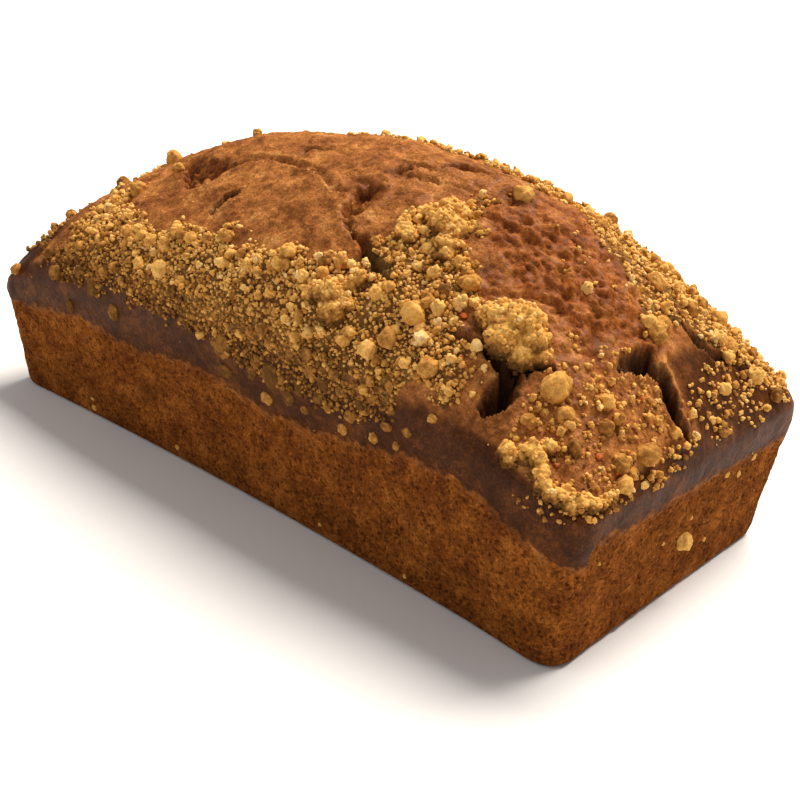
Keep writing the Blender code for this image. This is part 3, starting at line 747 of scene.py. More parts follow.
@dataclass(frozen=True)
class CrustFinish:
    """Baked cake crust: bare brown crust, open sponge, dark greased skin, butter stains, painted hollow
    shade.
    """

    bare: tuple[tuple[float, str], ...] = (
        (0.30, "#6a3b1c"), (0.46, "#94592b"), (0.58, "#b07038"), (0.74, "#cf9553"))
    torn: tuple[tuple[float, str], ...] = ((0.30, "#663315"), (0.50, "#985424"), (0.70, "#bb7636"))
    sponge: tuple[tuple[float, str], ...] = (
        (0.30, "#623315"), (0.50, "#844a1c"), (0.68, "#a56228"))
    skin: tuple[tuple[float, str], ...] = ((0.34, "#3c1f0b"), (0.50, "#4c280f"), (0.66, "#683a17"))
    stain: tuple[tuple[float, str], ...] = ((0.32, "#543417"), (0.50, "#744e25"), (0.68, "#96703a"))
    # Near-black colour of the painted shade in cracks, pits, creases and the wall's dents
    hollow: str = "#240e06"
    # Near-black brown of the painted shade in the sponge's pores
    pore: str = "#2c1206"
    speck: str = "#b87434"
    mottle_size: float = 8.0
    speckle_size: float = 1.5
    grain_size: float = 0.55
    pore_size: float = 1.5
    fine_pore_size: float = 0.9
    warp_size: float = 1.6
    warp_depth: float = 0.5
    grain_height: float = 0.34
    pore_depth: float = 0.45
    tone_swing: float = 0.55
    fleck_range: tuple[float, float] = (0.58, 0.72)
    fleck_share: float = 0.45
    pore_share: float = 0.5
    fray: float = 0.7
    blend_range: tuple[float, float] = (0.25, 0.75)
    hollow_shade_share: float = 0.9
    grain_range: tuple[float, float] = (0.3, 0.7)
    grain_shades: tuple[float, float] = (0.62, 1.38)
    skin_roughness: tuple[float, float] = (0.74, 0.46)
    sponge_roughness: float = 0.3
    skin_relief: tuple[float, float] = (0.8, 0.45)
    speckle_relief: float = 1.6
    skin_coat: tuple[float, float] = (0.09, 0.11)

    def pores(self, tree: bpy.types.NodeTree, place: bpy.types.NodeSocket) -> bpy.types.NodeSocket:
        """Build the pattern of the sponge's pores.

        Args:
            tree: The material's tree.
            place: The socket that gives the place.

        Returns:
            A socket that is 1 inside a pore and 0 outside.
        """
        warp = add_noise(tree, place, self.warp_size, 2.0, 0.5)
        bend = add_node(tree, "ShaderNodeVectorMath", {"operation": "MULTIPLY_ADD"}, {
            0: warp.outputs["Color"], 1: (2.0 * self.warp_depth * MM,) * 3, 2: place})
        holes = []
        for size, edge in ((self.pore_size, (0.10, 0.40)), (self.fine_pore_size, (0.12, 0.42))):
            spots = add_node(tree, "ShaderNodeTexVoronoi", {"feature": "F1"}, {
                "Vector": bend.outputs[0], "Scale": 1.0 / (size * MM), "Randomness": 1.0})
            holes.append(add_range(tree, spots.outputs["Distance"], edge, (1.0, 0.0), smooth=True))
        return add_math(tree, "MULTIPLY_ADD", holes[1], 0.5, holes[0], clamp=True)

    def paint(self, tree: bpy.types.NodeTree, shares: dict[str, bpy.types.NodeSocket],
              patterns: tuple[bpy.types.NodeSocket, ...]) -> bpy.types.NodeSocket:
        """Build the colour from layers that lie on one another, with painted shade in the hollows last.

        Args:
            tree: The material's tree.
            shares: What covers the place, by name.
            patterns: The mottle, the speckle, the grain and the pores.

        Returns:
            The colour's socket.
        """
        mottle, speckle, grain, pored = patterns
        toned = add_math(tree, "ADD", mottle, add_swing(tree, speckle, self.tone_swing))
        layers = {}
        for name in ("bare", "torn", "stain", "skin", "sponge"):
            layers[name] = add_node(tree, "ShaderNodeValToRGB", {"stops": getattr(self, name)},
                                    {"Fac": toned}).outputs["Color"]
        flecked = add_range(tree, speckle, self.fleck_range, (0.0, self.fleck_share), smooth=True)
        layers["sponge"] = add_mix(tree, flecked, layers["sponge"], linear(self.speck))
        # Painted shade: the sponge's pores are darkened towards near-black brown
        painted_pore_shade = add_math(tree, "MULTIPLY", pored, self.pore_share)
        layers["sponge"] = add_mix(tree, painted_pore_shade, layers["sponge"], linear(self.pore))
        colour = layers.pop("bare")
        frayed = add_swing(tree, grain, self.fray)
        for name, layer in layers.items():
            summed = add_math(tree, "ADD", shares[name], frayed)
            factor = add_range(tree, summed, self.blend_range, (0.0, 1.0), smooth=True)
            colour = add_mix(tree, factor, colour, layer)
        # Painted shade: the crust is darkened towards near black in its cracks, pits, creases and dents, as
        # far as the mesh's hollow share says
        hollow_shaded = add_math(tree, "MULTIPLY", shares["hollow"], self.hollow_shade_share)
        colour = add_mix(tree, hollow_shaded, colour, linear(self.hollow))
        shade = add_range(tree, grain, self.grain_range, self.grain_shades)
        return add_node(tree, "ShaderNodeVectorMath", {"operation": "SCALE"}, {
            0: colour, "Scale": shade}).outputs[0]

    def material(self) -> bpy.types.Material:
        """Build the material.

        Returns:
            The crust's material, which mixes its parts by the shares kept on the mesh.
        """
        # Baked pumpkin batter: matt brown crust, a spongy cut-like wall where it stood against
        # the tin, and a smooth dark skin above it that the butter left slightly glossy
        material, shader = new_material("baked_pumpkin_crust", {
            "Coat Roughness": 0.38, "IOR": 1.45, "Specular IOR Level": 0.03})
        tree = material.node_tree
        place = add_node(tree, "ShaderNodeTexCoord").outputs["Object"]
        shares = {name: add_node(tree, "ShaderNodeAttribute", {"attribute_name": name}).outputs["Fac"]
                  for name in SHARES}
        mottle = add_noise(tree, place, self.mottle_size, 7.0, 0.68).outputs["Fac"]
        speckle = add_noise(tree, place, self.speckle_size, 4.0, 0.7).outputs["Fac"]
        grain = add_noise(tree, place, self.grain_size, 3.0, 0.6).outputs["Fac"]
        pored = self.pores(tree, place)
        colour = self.paint(tree, shares, (mottle, speckle, grain, pored))
        tree.links.new(colour, shader.inputs["Base Color"])

        unit = (0.0, 1.0)
        gloss = add_range(tree, shares["skin"], unit, self.skin_roughness)
        matt = add_range(tree, shares["sponge"], unit, (0.0, self.sponge_roughness))
        rough = add_math(tree, "ADD", gloss, matt, clamp=True)
        tree.links.new(rough, shader.inputs["Roughness"])

        smoothness = add_range(tree, shares["skin"], unit, self.skin_relief)
        grit = add_math(tree, "MULTIPLY_ADD", speckle, self.speckle_relief, grain)
        relief = add_math(tree, "MULTIPLY", grit, smoothness)
        dented = add_math(tree, "MULTIPLY", pored, shares["sponge"])
        sunk = add_math(tree, "MULTIPLY_ADD", dented, -self.pore_depth / self.grain_height, relief)
        bump = add_node(tree, "ShaderNodeBump", {}, {
            "Height": sunk, "Distance": self.grain_height * MM, "Strength": 1.0})
        tree.links.new(bump.outputs["Normal"], shader.inputs["Normal"])

        greasy = add_range(tree, shares["skin"], unit, self.skin_coat)
        dry = add_range(tree, shares["sponge"], unit, (1.0, 0.0))
        tree.links.new(add_math(tree, "MULTIPLY", greasy, dry), shader.inputs["Coat Weight"])
        return material


@dataclass(frozen=True)
class StreuselFinish:
    """Baked streusel: butter, flour and sugar in crumbs, from olive brown to pale gold."""

    stops: tuple[tuple[float, str], ...] = (
        (0.0, "#68451f"), (0.28, "#ab7436"), (0.55, "#dea552"), (0.8, "#edbe6e"), (1.0, "#f5d298"))
    mottle_size: float = 2.2
    grain_size: float = 0.4
    grain_height: float = 0.12
    tint_swing: float = 0.9
    grain_range: tuple[float, float] = (0.3, 0.7)
    grain_shades: tuple[float, float] = (0.82, 1.18)

    def material(self) -> bpy.types.Material:
        """Build the material.

        Returns:
            The streusel's material, whose colour follows the tint kept on the mesh.
        """
        # Baked butter streusel: dry, matt and sugary, each crumb a little darker or paler
        material, shader = new_material("baked_butter_streusel", {
            "Roughness": 0.8, "IOR": 1.45, "Specular IOR Level": 0.06})
        tree = material.node_tree
        place = add_node(tree, "ShaderNodeTexCoord").outputs["Object"]
        tint = add_node(tree, "ShaderNodeAttribute", {"attribute_name": "crumb_tint"}).outputs["Fac"]
        mottle = add_noise(tree, place, self.mottle_size, 4.0, 0.65).outputs["Fac"]
        grain = add_noise(tree, place, self.grain_size, 2.0, 0.6).outputs["Fac"]
        shifted = add_math(tree, "ADD", tint, add_swing(tree, mottle, self.tint_swing), clamp=True)
        ramp = add_node(tree, "ShaderNodeValToRGB", {"stops": self.stops}, {"Fac": shifted})
        shade = add_range(tree, grain, self.grain_range, self.grain_shades)
        colour = add_node(tree, "ShaderNodeVectorMath", {"operation": "SCALE"}, {
            0: ramp.outputs["Color"], "Scale": shade})
        tree.links.new(colour.outputs[0], shader.inputs["Base Color"])
        bump = add_node(tree, "ShaderNodeBump", {}, {
            "Height": grain, "Distance": self.grain_height * MM, "Strength": 1.0})
        tree.links.new(bump.outputs["Normal"], shader.inputs["Normal"])
        return material


@dataclass(frozen=True)
class FleckFinish:
    """Flecks of grated pumpkin that baked into the crust."""

    colour: str = "#b4561f"

    def material(self) -> bpy.types.Material:
        """Build the material.

        Returns:
            The flecks' material.
        """
        # Grated pumpkin flesh: bright orange, a little moist, so slightly glossier than the crust
        return new_material("baked_pumpkin_fleck", {
            "Base Color": linear(self.colour), "Roughness": 0.5, "IOR": 1.45,
            "Specular IOR Level": 0.2})[0]


@dataclass(frozen=True)
class FloorFinish:
    """A plain pale floor."""

    colour: str = "#f4f3f1"

    def material(self) -> bpy.types.Material:
        """Build the material.

        Returns:
            The floor's material.
        """
        # Matt painted board: even and pale, so that only the bread shows
        return new_material("painted_board", {"Base Color": linear(self.colour), "Roughness": 0.9})[0]


@dataclass
class Surface:
    """The loaf's finished outside: its points, directions, areas and shares."""

    points: np.ndarray
    normals: np.ndarray
    areas: np.ndarray
    shares: dict[str, np.ndarray]


@dataclass
class LoafBody:
    """The loaf itself, in two closed pieces that meet at the shoulder."""

    form: LoafForm
    material: bpy.types.Material
    noise: Noise = field(default_factory=lambda: Noise(LOAF_SEED))
    columns: int = 392
    rows: int = 244
    band_rows: int = 28
    wall_rows: int = 42
    edge_rows: int = 4
    front_weight: float = 1.35
    lining: float = 9.0
    lining_floor: float = 26.0
    lining_roof: float = 29.5

    def even_steps(self, along: bool, count: int) -> np.ndarray:
        """Return grid values that are spaced about evenly over the crown.

        Args:
            along: Whether the steps run along the length, or else across.
            count: How many steps there are.

        Returns:
            Values from -1 to 1, one more than the steps.
        """
        fine = np.linspace(-1.0, 1.0, 2001)
        total = np.zeros(2000)
        for other in (-0.8, -0.4, 0.0, 0.4, 0.8):
            fixed = np.full_like(fine, other)
            line = self.form.crown(fine, fixed) if along else self.form.crown(fixed, fine)
            total += np.linalg.norm(np.diff(line, axis=0), axis=1)
        if not along:
            middle = (fine[1:] + fine[:-1]) / 2.0
            total *= 1.0 + (self.front_weight - 1.0) * (1.0 - step_up(middle, -0.2, 0.4))
        length = np.concatenate([[0.0], np.cumsum(total)])
        return np.interp(np.linspace(0.0, length[-1], count + 1), length, fine)

    def plain_surface(self) -> tuple[np.ndarray, np.ndarray, np.ndarray, int]:
        """Lay out the whole outside before its relief.

        Returns:
            The points, the quads, the numbers of the shoulder's points and the count of the
            crown's points.
        """
        u, v = np.meshgrid(self.even_steps(True, self.columns), self.even_steps(False, self.rows),
                           indexing="ij")
        u, v = u.ravel(), v.ravel()
        crown = self.form.crown(u, v)
        index = np.arange(len(crown)).reshape(self.columns + 1, self.rows + 1)
        quads = [np.stack([index[:-1, :-1], index[1:, :-1], index[1:, 1:], index[:-1, 1:]],
                          axis=-1).reshape(-1, 4)]
        border = np.concatenate([index[:-1, 0], index[-1, :-1], index[:0:-1, -1], index[0, :0:-1]])
        edge_u, edge_v = u[border], v[border]
        top = crown[border]
        wall = self.form.wall(edge_u, edge_v, 1.0)
        outward = np.stack([wall[:, 0] / self.form.wall_half_length,
                            wall[:, 1] / self.form.wall_half_width, np.zeros(len(wall))], axis=1)
        outward /= np.linalg.norm(outward, axis=1, keepdims=True)
        rings = []
        for k in range(1, self.band_rows + 1):
            t = k / self.band_rows
            rings.append(top + (wall - top) * t + outward * self.form.band_bulge * 4.0 * t * (1.0 - t))
        for k in range(1, self.wall_rows + 1):
            rings.append(self.form.wall(edge_u, edge_v, 1.0 - k / self.wall_rows))
        foot = rings[-1]
        for k in range(1, self.edge_rows + 1):
            angle = math.pi / 2 * k / self.edge_rows
            ring = foot - outward * self.form.base_edge_inset * (1.0 - math.cos(angle))
            ring[:, 2] = self.form.base_edge_height * (1.0 - math.sin(angle))
            rings.append(ring)
        points = np.concatenate([crown] + rings)
        upper = border
        for k in range(len(rings)):
            lower = len(crown) + k * len(border) + np.arange(len(border))
            quads.append(np.stack([upper, lower, np.roll(lower, -1), np.roll(upper, -1)], axis=1))
            upper = lower
        quads = np.concatenate(quads)
        ring_number = np.concatenate([np.full(len(crown), -9), np.repeat(np.arange(len(rings)), len(border))])
        corner = np.abs(ring_number - self.band_rows) < 7
        near = np.zeros(len(points))
        near[border] = 1.0
        reach = np.maximum(np.abs(u), np.abs(v))
        near[:len(crown)] = step_up(reach, 0.965, 0.985)
        near[(ring_number >= 0) & (ring_number < 7)] = 1.0
        near[corner] = 1.0
        points = relax(points, quads, near, 14)
        return points, quads, border, len(crown)

    def shares(self, points: np.ndarray, normals: np.ndarray) -> dict[str, np.ndarray]:
        """Work out what covers each point: sponge, skin or streusel's stain.

        Args:
            points: The plain surface's points.
            normals: Its outward directions.

        Returns:
            A share from 0 to 1 for each point, by name.
        """
        x, y, z = points.T
        line = np.interp(x, *np.array(WALL_LINE, float).T)
        line = np.where((y > -40.0) & (np.abs(x) < 97.0), 30.0, line)
        line = np.where((x > 96.0) & (y > -45.0), np.interp(y, (-51, -26, 0, 47), (33, 31, 31, 29)), line)
        line = line + 0.9 * self.noise.rough(points, 7.0, 3, 50)
        line = line + 1.5 * self.noise.rough(points, 1.8, 3, 55)
        sponge = 1.0 - step_up(z - line, -3.2, 2.4)
        rise = z - self.form.wall_height
        shoulder = 1.0 - step_up(normals[:, 2], 0.25, 0.72)
        low = 1.0 - step_up(rise, 16.0, 26.0)
        band = 1.0 - step_up(z + 1.5 * self.noise.rough(points, 6.0, 3, 65), 39.5, 45.0)
        skin = np.maximum(shoulder * low, band) + self.noise.rough(points, 8.0, 3, 60) * 0.25
        skin = np.clip(skin, 0.0, 1.0)
        end = step_up(x, 86.0, 92.0) * step_up(y, -6.0, 0.0) * 0.75
        left = (1.0 - step_up(x, -90.0, -80.0)) * 0.8
        skin = np.clip(np.maximum(skin, np.maximum(end, left) * (z < 62.0)), 0.0, 1.0) * (1.0 - sponge)
        cover = streusel_cover(points, self.noise)
        plate = step_up(x, 70.0, 78.0) * (1.0 - step_up(y, -8.0, 0.0)) * step_up(normals[:, 2], 0.1, 0.3)
        stain = np.clip(cover * 1.1, 0.0, 1.0) * (1.0 - sponge) * (1.0 - 0.72 * plate)
        stain = stain * (0.1 + 0.9 * step_up(z, 41.0, 52.0))
        skin = skin * (1.0 - 0.6 * step_up(cover, 0.3, 0.8) * step_up(z, 42.0, 50.0))
        torn = np.exp(-((x - 66.0) / 20.0) ** 2 - ((y + 11.0) / 14.0) ** 2) * step_up(z, 50.0, 58.0)
        torn = np.clip(torn * 1.5 + 0.45 * self.noise.rough(points, 9.0, 2, 170) * (torn > 0.1), 0.0, 1.0)
        torn = torn * (1.0 - 0.8 * stain)
        for groove in GROOVES:
            if groove.kind is TEAR:
                _, share, _ = groove.press(x + 1.3 * self.noise.rough(points, 4.2, 4, 100),
                                           y + 1.3 * self.noise.rough(points, 4.2, 4, 110))
                torn = np.maximum(torn, share * step_up(normals[:, 2], 0.1, 0.3))
        return {"sponge": sponge, "skin": skin, "stain": stain, "torn": torn, "hollow": np.zeros(len(points))}

    def relief(self, points: np.ndarray, normals: np.ndarray, shares: dict[str, np.ndarray]) -> np.ndarray:
        """Give the plain surface its cracks, folds, pores and unevenness.

        Args:
            points: The plain surface's points.
            normals: Its outward directions.
            shares: What covers each point. The share of painted shade in hollows is filled in here.

        Returns:
            The finished points.
        """
        x, y, z = points.T
        noise = self.noise
        upper = step_up(normals[:, 2], 0.05, 0.35) * step_up(z, 30.0, 36.0)
        sway_x = noise.rough(points, 4.2, 4, 100) * 1.15
        sway_y = noise.rough(points, 4.2, 4, 110) * 1.15
        warped = points + 2.1 * np.stack([noise.rough(points, 3.2, 3, 240 + a) for a in range(3)], axis=1)
        drop = np.zeros(len(points))
        lips = np.zeros(len(points))
        # Painted shade: how darkly each point is painted for lying in a crack, pit, crease or wall dent
        hollow = np.zeros(len(points))
        on_top = upper > 0.0
        for groove in GROOVES:
            kind = groove.kind
            depth, share, lip = groove.press((x + kind.sway * sway_x)[on_top],
                                             (y + kind.sway * sway_y)[on_top])
            drop[on_top] = np.maximum(drop[on_top], depth)
            lips[on_top] = np.maximum(lips[on_top], lip * kind.lips)
            hollow[on_top] = np.maximum(hollow[on_top], share * kind.dark)
        drop *= upper
        bank = np.clip(4.0 * hollow * (1.0 - hollow), 0.0, 1.0) * step_up(drop, 0.3, 1.5)
        rough_floor = step_up(drop, 0.4, 2.4) * noise.rough(points, 2.6, 3, 130) * 2.0

        bare = (1.0 - shares["sponge"]) * (1.0 - 0.8 * shares["skin"])
        out = 0.55 * noise.rough(points, 11.0, 3, 140) * bare
        ridged = 1.0 - 2.0 * np.abs(noise.rough(points, 6.5, 2, 150))
        out += 0.32 * ridged * bare
        out += 0.30 * noise.rough(points, 2.4, 2, 160) * bare
        out += 0.20 * noise.rough(points, 1.15, 2, 165) * bare
        torn = shares["torn"]
        cluster = step_up(noise.rough(points, 7.0, 2, 175), -0.25, 0.45)
        pit = np.zeros(len(points))
        for size, few, many, depth in ((3.4, 0.05, 0.22, 1.0), (1.9, 0.08, 0.34, 0.7)):
            near, pick = noise.cells(warped[on_top], size, 180)
            open_pit = pick < few + many * torn[on_top] * cluster[on_top]
            hole = (1.0 - step_up(near, 0.05, 0.48)) * open_pit * (0.35 + 0.65 * torn[on_top])
            pit[on_top] = np.maximum(pit[on_top], depth * hole)
        pit *= bare * (1.0 - 0.7 * shares["stain"])
        out -= 0.9 * pit
        out += 0.42 * torn * noise.rough(points, 1.4, 2, 192)
        crease = np.clip(1.0 - 3.4 * np.abs(noise.smooth(warped, 5.2, 195)), 0.0, 1.0) * torn
        out -= 0.6 * crease
        # Painted shade in the pits and creases
        hollow = np.maximum(hollow, np.maximum(0.75 * pit, 0.35 * crease))
        out += 1.15 * torn * noise.rough(points, 3.0, 4, 190)

        granular, _ = noise.cells(points[on_top], 1.5, 200)
        bumps = np.zeros(len(points))
        bumps[on_top] = 0.42 * (0.62 - granular)
        out += bumps * shares["stain"]

        wall = shares["sponge"]
        walls = wall > 0.02
        pores, choice = noise.cells(warped[walls], 1.35, 210)
        dents = np.zeros(len(points))
        dents[walls] = (1.0 - step_up(pores, 0.12, 0.5)) * (0.25 + 0.75 * choice)
        out -= wall * (0.55 * dents + 0.25 + 0.25 * noise.rough(points, 3.2, 3, 220))
        # Painted shade in the wall's pore dents
        hollow = np.maximum(hollow, 0.55 * wall * dents)
        out -= (1.0 - bare) * (1.0 - wall) * (0.12 + 0.12 * noise.rough(points, 7.0, 2, 230))
        fade = step_up(z, 0.0, 2.0)
        shares["hollow"][:] = np.clip(hollow, 0.0, 1.0)
        moved = points + normals * ((out + lips * upper) * fade)[:, None]
        moved[:, 2] -= drop - rough_floor * (drop > 0.5)
        for axis in range(3):
            moved[:, axis] += 0.9 * bank * noise.rough(points, 1.9, 3, 260 + axis)
        return moved

    def closed_piece(self, name: str, points: np.ndarray, quads: np.ndarray, rims: list,
                     shares: dict[str, np.ndarray]) -> bpy.types.Object:
        """Make one closed piece, with hidden linings behind its open rims.

        Args:
            name: The piece's name.
            points: All the outside's points.
            quads: The piece's quads.
            rims: For each rim its point numbers, the lining's height or None, and its direction.
            shares: The values to keep on the points.

        Returns:
            The object.
        """
        used = np.unique(quads)
        number = np.full(len(points), -1)
        number[used] = np.arange(len(used))
        faces = number[quads].tolist()
        kept = [points[used]]
        values = {key: [value[used]] for key, value in shares.items()}
        count = len(used)
        sharp = []
        for rim, height, outward_up in rims:
            ring = number[rim]
            sharp.append(ring)
            if height is not None:
                inner = points[rim].copy()
                plan = inner[:, :2] / (self.form.shoulder_half_length, self.form.shoulder_half_width)
                plan /= np.linalg.norm(plan, axis=1, keepdims=True)
                inner[:, :2] -= plan * self.lining
                inner[:, 2] = height
                fresh = count + np.arange(len(rim))
                kept.append(inner)
                for key, value in shares.items():
                    values[key].append(value[rim])
                count += len(rim)
                sides = np.stack([ring, fresh, np.roll(fresh, -1), np.roll(ring, -1)], axis=1)
                faces += (sides[:, ::-1] if outward_up else sides).tolist()
                ring = fresh
            faces.append((ring if outward_up else ring[::-1]).tolist())
        piece = make_object(name, np.concatenate(kept), faces, self.material,
                            {key: np.concatenate(value) for key, value in values.items()})
        mesh = piece.data
        ends = np.zeros(len(mesh.edges) * 2, dtype=np.int32)
        mesh.edges.foreach_get("vertices", ends)
        on_rim = np.zeros(count, dtype=bool)
        on_rim[np.concatenate(sharp)] = True
        crease = on_rim[ends.reshape(-1, 2)].all(axis=1)
        layer = mesh.attributes.new("sharp_edge", "BOOLEAN", "EDGE")
        layer.data.foreach_set("value", crease)
        return piece

    def build(self) -> Surface:
        """Build both pieces.

        Returns:
            The finished outside, on which the streusel lies.
        """
        points, quads, border, crown_count = self.plain_surface()
        normals, _ = vertex_normals(points, quads)
        shares = self.shares(points, normals)
        points = self.relief(points, normals, shares)
        normals, areas = vertex_normals(points, quads)
        is_crown = (quads < crown_count).all(axis=1)
        crown = self.closed_piece("loaf_crown", points, quads[is_crown],
                                  [(border, self.lining_floor, False)], shares)
        last = len(points) - len(border) + np.arange(len(border))
        walls = self.closed_piece("loaf_walls", points, quads[~is_crown],
                                  [(border, self.lining_roof, True), (last, None, False)], shares)
        hand_over(crown, LOAF_SLOT, "loaf")
        hand_over(walls, LOAF_SLOT, "loaf")
        return Surface(points, normals, areas, shares)


class CrumbKind(Enum):
    """The sizes of scattered crumb: name, count, radii, ball detail, stand, spacing and lobes."""

    DUST = ("streusel_dust", 5500, (0.20, 0.36), 1, 0.20, 0.85, 1)
    FINE = ("streusel_fine", 5600, (0.40, 0.72), 1, 0.25, 0.78, 1)
    MEDIUM = ("streusel_medium", 1720, (0.70, 1.30), 2, 0.35, 0.78, 4)
    COARSE = ("streusel_coarse", 245, (1.20, 1.95), 2, 0.40, 0.90, 9)

    def __init__(self, label: str, count: int, radii: tuple[float, float], detail: int,
                 raised: float, spacing: float, lobes: int) -> None:
        """Keep the measures by name.

        Args:
            label: The piece's name.
            count: How many crumbs of the kind are wanted.
            radii: The smallest and the largest radius in millimetres.
            detail: How finely each ball is divided.
            raised: How far a crumb stands out of the surface, in radii.
            spacing: The least distance of two crumbs, as a share of their radii added up.
            lobes: How many balls baked together into one crumb.
        """
        self.label = label
        self.count = count
        self.radii = radii
        self.detail = detail
        self.raised = raised
        self.spacing = spacing
        self.lobes = lobes


@dataclass
class CrumbMaker:
    """Turns points with sizes and turns into uneven crumbs by a tree of Geometry Nodes."""

    material: bpy.types.Material
    lump_share: float = 0.75

    def tree(self) -> bpy.types.NodeTree:
        """Build the node tree.

        Returns:
            The tree, whose named inputs are the detail, the lumps' size and depth, and the seed.
        """
        tree = bpy.data.node_groups.new("crumbs_on_points", "GeometryNodeTree")
        face = tree.interface
        for name, kind in (("Geometry", "Geometry"), ("Ball detail", "Int"), ("Lump size", "Float"),
                           ("Lump depth", "Float"), ("Seed", "Float"), ("Streusel", "Material")):
            face.new_socket(name, in_out="INPUT", socket_type="NodeSocket" + kind)
        face.new_socket("Geometry", in_out="OUTPUT", socket_type="NodeSocketGeometry")
        given = add_node(tree, "NodeGroupInput").outputs
        ball = add_node(tree, "GeometryNodeMeshIcoSphere", {}, {
            "Radius": 1.0, "Subdivisions": given["Ball detail"]})
        size, turn = (add_node(tree, "GeometryNodeInputNamedAttribute", {"data_type": "FLOAT_VECTOR"},
                               {"Name": name}) for name in ("crumb_size", "crumb_turn"))
        copies = add_node(tree, "GeometryNodeInstanceOnPoints", {}, {
            "Points": given["Geometry"], "Instance": ball.outputs["Mesh"],
            "Rotation": turn.outputs["Attribute"], "Scale": size.outputs["Attribute"]})
        real = add_node(tree, "GeometryNodeRealizeInstances", {}, {"Geometry": copies.outputs[0]})
        place = add_node(tree, "GeometryNodeInputPosition")
        pattern = add_node(tree, "ShaderNodeTexNoise", {"noise_dimensions": "4D"}, {
            "Vector": place.outputs[0], "W": given["Seed"], "Scale": given["Lump size"],
            "Detail": 1.0, "Roughness": 0.5})
        centred = add_node(tree, "ShaderNodeVectorMath", {"operation": "SUBTRACT"}, {
            0: pattern.outputs["Color"], 1: (0.5, 0.5, 0.5)})
        depth = add_node(tree, "ShaderNodeVectorMath", {"operation": "LENGTH"}, {
            0: size.outputs["Attribute"]})
        amount = add_node(tree, "ShaderNodeMath", {"operation": "MULTIPLY"}, {
            0: depth.outputs["Value"], 1: given["Lump depth"]})
        offset = add_node(tree, "ShaderNodeVectorMath", {"operation": "SCALE"}, {
            0: centred.outputs[0], "Scale": amount.outputs[0]})
        lumpy = add_node(tree, "GeometryNodeSetPosition", {}, {
            "Geometry": real.outputs[0], "Offset": offset.outputs[0]})
        smooth = add_node(tree, "GeometryNodeSetShadeSmooth", {}, {"Geometry": lumpy.outputs[0]})
        dressed = add_node(tree, "GeometryNodeSetMaterial", {}, {
            "Geometry": smooth.outputs[0], "Material": given["Streusel"]})
        add_node(tree, "NodeGroupOutput", {}, {0: dressed.outputs[0]})
        return tree

    def make(self, name: str, centres: np.ndarray, sizes: np.ndarray, turns: np.ndarray,
             tints: np.ndarray, detail: int, seed: float) -> bpy.types.Object:
        """Make one piece of many crumbs.

        Args:
            name: The piece's name.
            centres: The crumbs' centres in millimetres.
            sizes: Their three half sizes in millimetres.
            turns: Their turns as three angles.
            tints: Their tints from 0 to 1.
            detail: How finely each ball is divided.
            seed: What sets the lumps apart from other pieces'.

        Returns:
            The piece, a plain mesh.
        """
        mesh = bpy.data.meshes.new(name)
        mesh.from_pydata((centres * MM).tolist(), [], [])
        for key, values in (("crumb_size", sizes * MM), ("crumb_turn", turns)):
            layer = mesh.attributes.new(key, "FLOAT_VECTOR", "POINT")
            layer.data.foreach_set("vector", np.ascontiguousarray(values, dtype=np.float32).ravel())
        layer = mesh.attributes.new("crumb_tint", "FLOAT", "POINT")
        layer.data.foreach_set("value", np.ascontiguousarray(tints, dtype=np.float32))
        piece = bpy.data.objects.new(name, mesh)
        bpy.context.scene.collection.objects.link(piece)
        modifier = piece.modifiers.new("crumbs", "NODES")
        modifier.node_group = self.tree()
        mean = float(sizes.mean()) * MM
        wanted = {"Ball detail": detail, "Lump size": self.lump_share / mean, "Lump depth": 1.05,
                  "Seed": seed, "Streusel": self.material}
        for item in modifier.node_group.interface.items_tree:
            if item.in_out == "INPUT" and item.name in wanted:
                modifier[item.identifier] = wanted[item.name]
        graph = bpy.context.evaluated_depsgraph_get()
        result = bpy.data.meshes.new_from_object(piece.evaluated_get(graph))
        group = modifier.node_group
        piece.modifiers.remove(modifier)
        bpy.data.node_groups.remove(group)
        piece.data = result
        bpy.data.meshes.remove(mesh)
        result.name = name
        return piece


LARGE_CRUMBS = (
    (83, -35.6, 3.4), (87.4, -37.6, 2.0), (90.1, -27.2, 1.7), (93.1, -31.1, 1.7), (92.1, -40.5, 1.9),
    (98.3, -32.7, 2.2), (99.2, -23.7, 2.8), (100.8, -0.8, 2.4), (100.6, -34, 2.2), (101.4, 8, 1.6),
    (82.4, -44.4, 1.7), (84.9, -2.2, 2.8), (83.7, -3.4, 2.0), (84.2, 2.6, 1.8), (86.5, -2.4, 1.8),
    (75.8, 11.5, 2.3), (81.9, 19.4, 1.9), (80.2, 29, 1.8), (83.3, 33.5, 2.3), (90, 27.3, 2.4),
    (91.8, 38, 1.8), (100.2, 37, 2.2), (96.6, 30.7, 2.0), (96.8, 14, 1.7), (59.5, 10.6, 1.8),
    (54.7, -31.6, 2.4), (47, -3.8, 2.4), (48.6, -42.2, 2.7), (37.8, -43.2, 1.6), (38.1, -41.6, 1.6),
    (39.9, -40.8, 1.6), (51.6, -35.8, 1.7), (9.4, -42.2, 2.2), (24.4, -40.6, 1.7), (20.2, -40.9, 1.9),
    (8.5, -44.6, 1.9), (16.7, -44.6, 1.9), (-12.6, -42.6, 2.0), (-24, -44.2, 1.8), (-30.3, -43, 1.8),
    (-49.2, -44.4, 1.9), (-38.7, -45.3, 1.9), (-66.3, -28, 2.6), (-57.7, -21.2, 1.9), (-44, -4.3, 1.7),
    (-78, -6, 2.6), (-84, 14, 2.4), (-86, -18, 2.2), (52, 27, 2.8), (30, 34, 2.6), (8, 37, 3.0),
    (-16, 36, 2.4), (-38, 38, 2.8),
)
